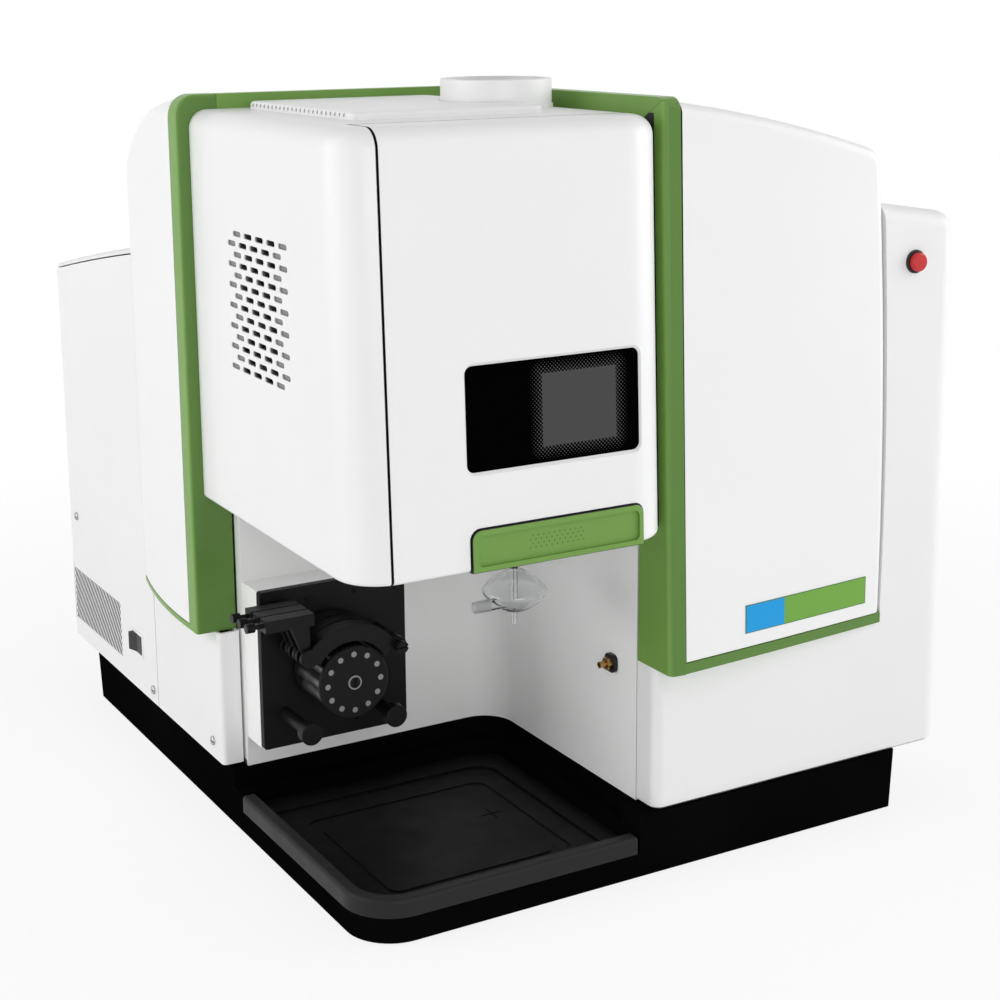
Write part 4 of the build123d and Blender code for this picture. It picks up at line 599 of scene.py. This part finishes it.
pump_finish = pump_moulding("pump_black")[0]
rotor_finish, rotor_shader, rotor_place = pump_moulding("rotor_black")
ring_middle = on_drawing(cap_ring_centre[0], 0, cap_ring_centre[1])
ring_x = work_out(rotor_finish, "SUBTRACT", pick(rotor_finish, rotor_place, "X"), ring_middle.x)
ring_z = work_out(rotor_finish, "SUBTRACT", pick(rotor_finish, rotor_place, "Z"), ring_middle.z)
ring_reach = reach(rotor_finish, ring_x, ring_z)
on_ring = work_out(rotor_finish, "LESS_THAN", pick(rotor_finish, rotor_place, "Y"), drawn("Y", cap_front))
on_ring = inside(rotor_finish, on_ring, ring_reach, cap_ring_inner / 1000, cap_ring_outer / 1000)
tint_where(rotor_finish, rotor_shader, on_ring, ring_steel)
dress(rotor_finish, "pump_rotor")
dress(pump_finish, "pump_posts", "pump_pivot_rod")
for channel in (1, 2, 3):
    dress(pump_finish, "pressure_arm_%d" % channel, "tension_lever_%d" % channel)
plate_finish = moulded("pump_plate_coat", (0.007, 0.007, 0.0075), rough=0.45, grain_scale=1400,
                       grain_depth=0.0001, shade=0.12, gloss=0.15)[0]
dress(plate_finish, "pump_plate")
pin_finish = moulded("pin_steel", (0.24, 0.24, 0.245), rough=0.32, grain_scale=1500, grain_depth=0.00002,
                     shade=0.05, gloss_swing=0.06, metal=1.0)[0]
dress(pin_finish, "pump_rollers", "door_hinge_pins")
motor_finish = moulded("motor_paint", (0.08, 0.08, 0.085), rough=0.45, grain_scale=900, grain_depth=0.0001)[0]
dress(motor_finish, "pump_motor")

# Quarter-turn screws
# Bright nickel plated domes that hold the lower left cover, each turned with a coin.
screw_finish = moulded("screw_nickel", (0.42, 0.42, 0.43), rough=0.2, grain_scale=1500, grain_depth=0.00002,
                       shade=0.03, gloss_swing=0.05, metal=1.0)[0]
dress(screw_finish, "quarter_turn_screws")

# Gas fittings
# Turned brass: the outlet for the nebulizer gas in its black surround on the bay wall, and the three
# inlets on the rear panel.
brass_finish = moulded("turned_brass", (0.4, 0.24, 0.085), rough=0.3, grain_scale=1600, grain_depth=0.00004,
                       shade=0.08, gloss_swing=0.08, metal=1.0)[0]
dress(brass_finish, "gas_port_fitting", "gas_inlets")
black_finish = moulded("black_plastic", (0.01, 0.01, 0.011), rough=0.4, grain_scale=1200,
                       grain_depth=0.0001, shade=0.1, gloss=0.25)[0]
dress(black_finish, "gas_port_surround", "mains_inlet")

# Main switch
# A rocker in satin black plastic, in a white snap-in frame that clips into the left panel.
rocker_finish = moulded("rocker_plastic", (0.016, 0.016, 0.017), rough=0.4, grain_scale=1200,
                        grain_depth=0.0001, shade=0.1, gloss=0.3)[0]
dress(rocker_finish, "main_switch")
dress(shell_finish, "switch_bezel")

# Stop button
# A glossy red mushroom button in a black ring on the column at the right, held by a nut behind the
# panel.
red_finish = moulded("red_button", (0.56, 0.018, 0.022), rough=0.25, grain_scale=500, grain_depth=0.00003,
                     shade=0.05, gloss_swing=0.04, gloss=0.4)[0]
dress(red_finish, "stop_button")
ring_finish = moulded("button_ring", (0.012, 0.01, 0.01), rough=0.35, grain_scale=800, grain_depth=0.00005,
                      gloss=0.3)[0]
dress(ring_finish, "stop_button_bezel")

# Studio
# A pale floor under a white sky, four soft lamps and the camera, which stands where the picture was
# taken from.
glow_near = 0.55
glow_far = 1.5
glow_least = 0.84
sky_strength = 0.4
lamp_size = (2.4, 2.4)
bay_lamp_size = (2.0, 1.2)
lamp_aim = (0, 0, 0.35)
bay_lamp_aim = (0, 0, 0.3)


def looked_at(owner):
    """One where a ray comes from the camera, from a reflection or through glass."""
    path = add_node(owner, "LightPath")
    direct = work_out(owner, "MAXIMUM", path.outputs["Is Camera Ray"], path.outputs["Is Glossy Ray"])
    return work_out(owner, "MAXIMUM", direct, path.outputs["Is Transmission Ray"])


bpy.ops.object.select_all(action="DESELECT")
bpy.ops.mesh.primitive_circle_add(vertices=96, radius=60, fill_type="NGON", location=(0, 0, 0))
floor = bpy.context.object
floor.name = "floor"
floor_finish, floor_shader, floor_place = new_finish("floor_paper", (0.9, 0.9, 0.9), 0.9)
vary_colour(floor_finish, floor_shader, cloud(floor_finish, floor_place, 3.0), (0.9, 0.9, 0.9),
            (0.91, 0.91, 0.91))
raise_grain(floor_finish, floor_shader, cloud(floor_finish, floor_place, 90.0), 0.0005, 0.2)
glow = add_node(floor_finish, "Emission")
glow.inputs["Color"].default_value = (1, 1, 1, 1)
from_middle = add_node(floor_finish, "VectorMath", operation="LENGTH")
join(floor_finish, floor_place, from_middle.inputs[0])
glow_share = spread(floor_finish, from_middle.outputs["Value"], glow_near, glow_far, glow_least, 1.0)
blend = add_node(floor_finish, "MixShader")
part_glow = work_out(floor_finish, "MULTIPLY", looked_at(floor_finish), glow_share)
join(floor_finish, part_glow, blend.inputs["Fac"])
join(floor_finish, floor_shader.outputs["BSDF"], blend.inputs[1])
join(floor_finish, glow.outputs["Emission"], blend.inputs[2])
join(floor_finish, blend.outputs["Shader"], floor_finish.node_tree.nodes["Material Output"].inputs["Surface"])
floor.data.materials.append(floor_finish)

sky = bpy.data.worlds.new("studio_sky")
sky.use_nodes = True
sky_mix = add_node(sky, "MixShader")
join(sky, looked_at(sky), sky_mix.inputs["Fac"])
for step, background, strength in ((1, sky.node_tree.nodes["Background"], sky_strength),
                                   (2, add_node(sky, "Background"), 1.0)):
    background.inputs["Color"].default_value = (1, 1, 1, 1)
    background.inputs["Strength"].default_value = strength
    join(sky, background.outputs["Background"], sky_mix.inputs[step])
join(sky, sky_mix.outputs["Shader"], sky.node_tree.nodes["World Output"].inputs["Surface"])
bpy.context.scene.world = sky


def soft_lamp(name, spot, aim, size, power):
    lamp = bpy.data.lights.new(name, "AREA")
    lamp.shape = "RECTANGLE"
    lamp.size, lamp.size_y = size
    lamp.energy = power
    holder = bpy.data.objects.new(name, lamp)
    bpy.context.scene.collection.objects.link(holder)
    holder.location = spot
    holder.rotation_euler = (Vector(aim) - Vector(spot)).to_track_quat("-Z", "Y").to_euler()


soft_lamp("left_lamp", (-3.0, 0.5, 1.4), lamp_aim, lamp_size, 45)
soft_lamp("right_lamp", (3.0, -1.4, 1.3), lamp_aim, lamp_size, 46)
soft_lamp("high_lamp", (0.9, -3.0, 3.0), lamp_aim, lamp_size, 10)
soft_lamp("bay_lamp", (-0.7, -3.4, 0.9), bay_lamp_aim, bay_lamp_size, 24)

camera_place = (-0.9644, -1.7473, 0.8172)
camera_turn = math.radians(29.986)
camera_dip = math.radians(11.847)
camera_roll = math.radians(-0.431)
sensor_width = 36
focal_length = 67.38
frame_shift = -0.1061
ahead = Vector((math.sin(camera_turn) * math.cos(camera_dip), math.cos(camera_turn) * math.cos(camera_dip),
                -math.sin(camera_dip)))
right = Vector((math.cos(camera_turn), -math.sin(camera_turn), 0))
up = right.cross(ahead)
right_rolled = right * math.cos(camera_roll) + up * math.sin(camera_roll)
up_rolled = up * math.cos(camera_roll) - right * math.sin(camera_roll)
lens = bpy.data.cameras.new("studio_camera")
lens.sensor_width = sensor_width
lens.lens = focal_length
lens.shift_y = frame_shift
lens.clip_end = 200
camera = bpy.data.objects.new("studio_camera", lens)
bpy.context.scene.collection.objects.link(camera)
camera.matrix_world = (Matrix.Translation(camera_place)
                       @ Matrix((right_rolled, up_rolled, -ahead)).transposed().to_4x4())
bpy.context.scene.camera = camera
bpy.context.scene.view_settings.view_transform = "Standard"
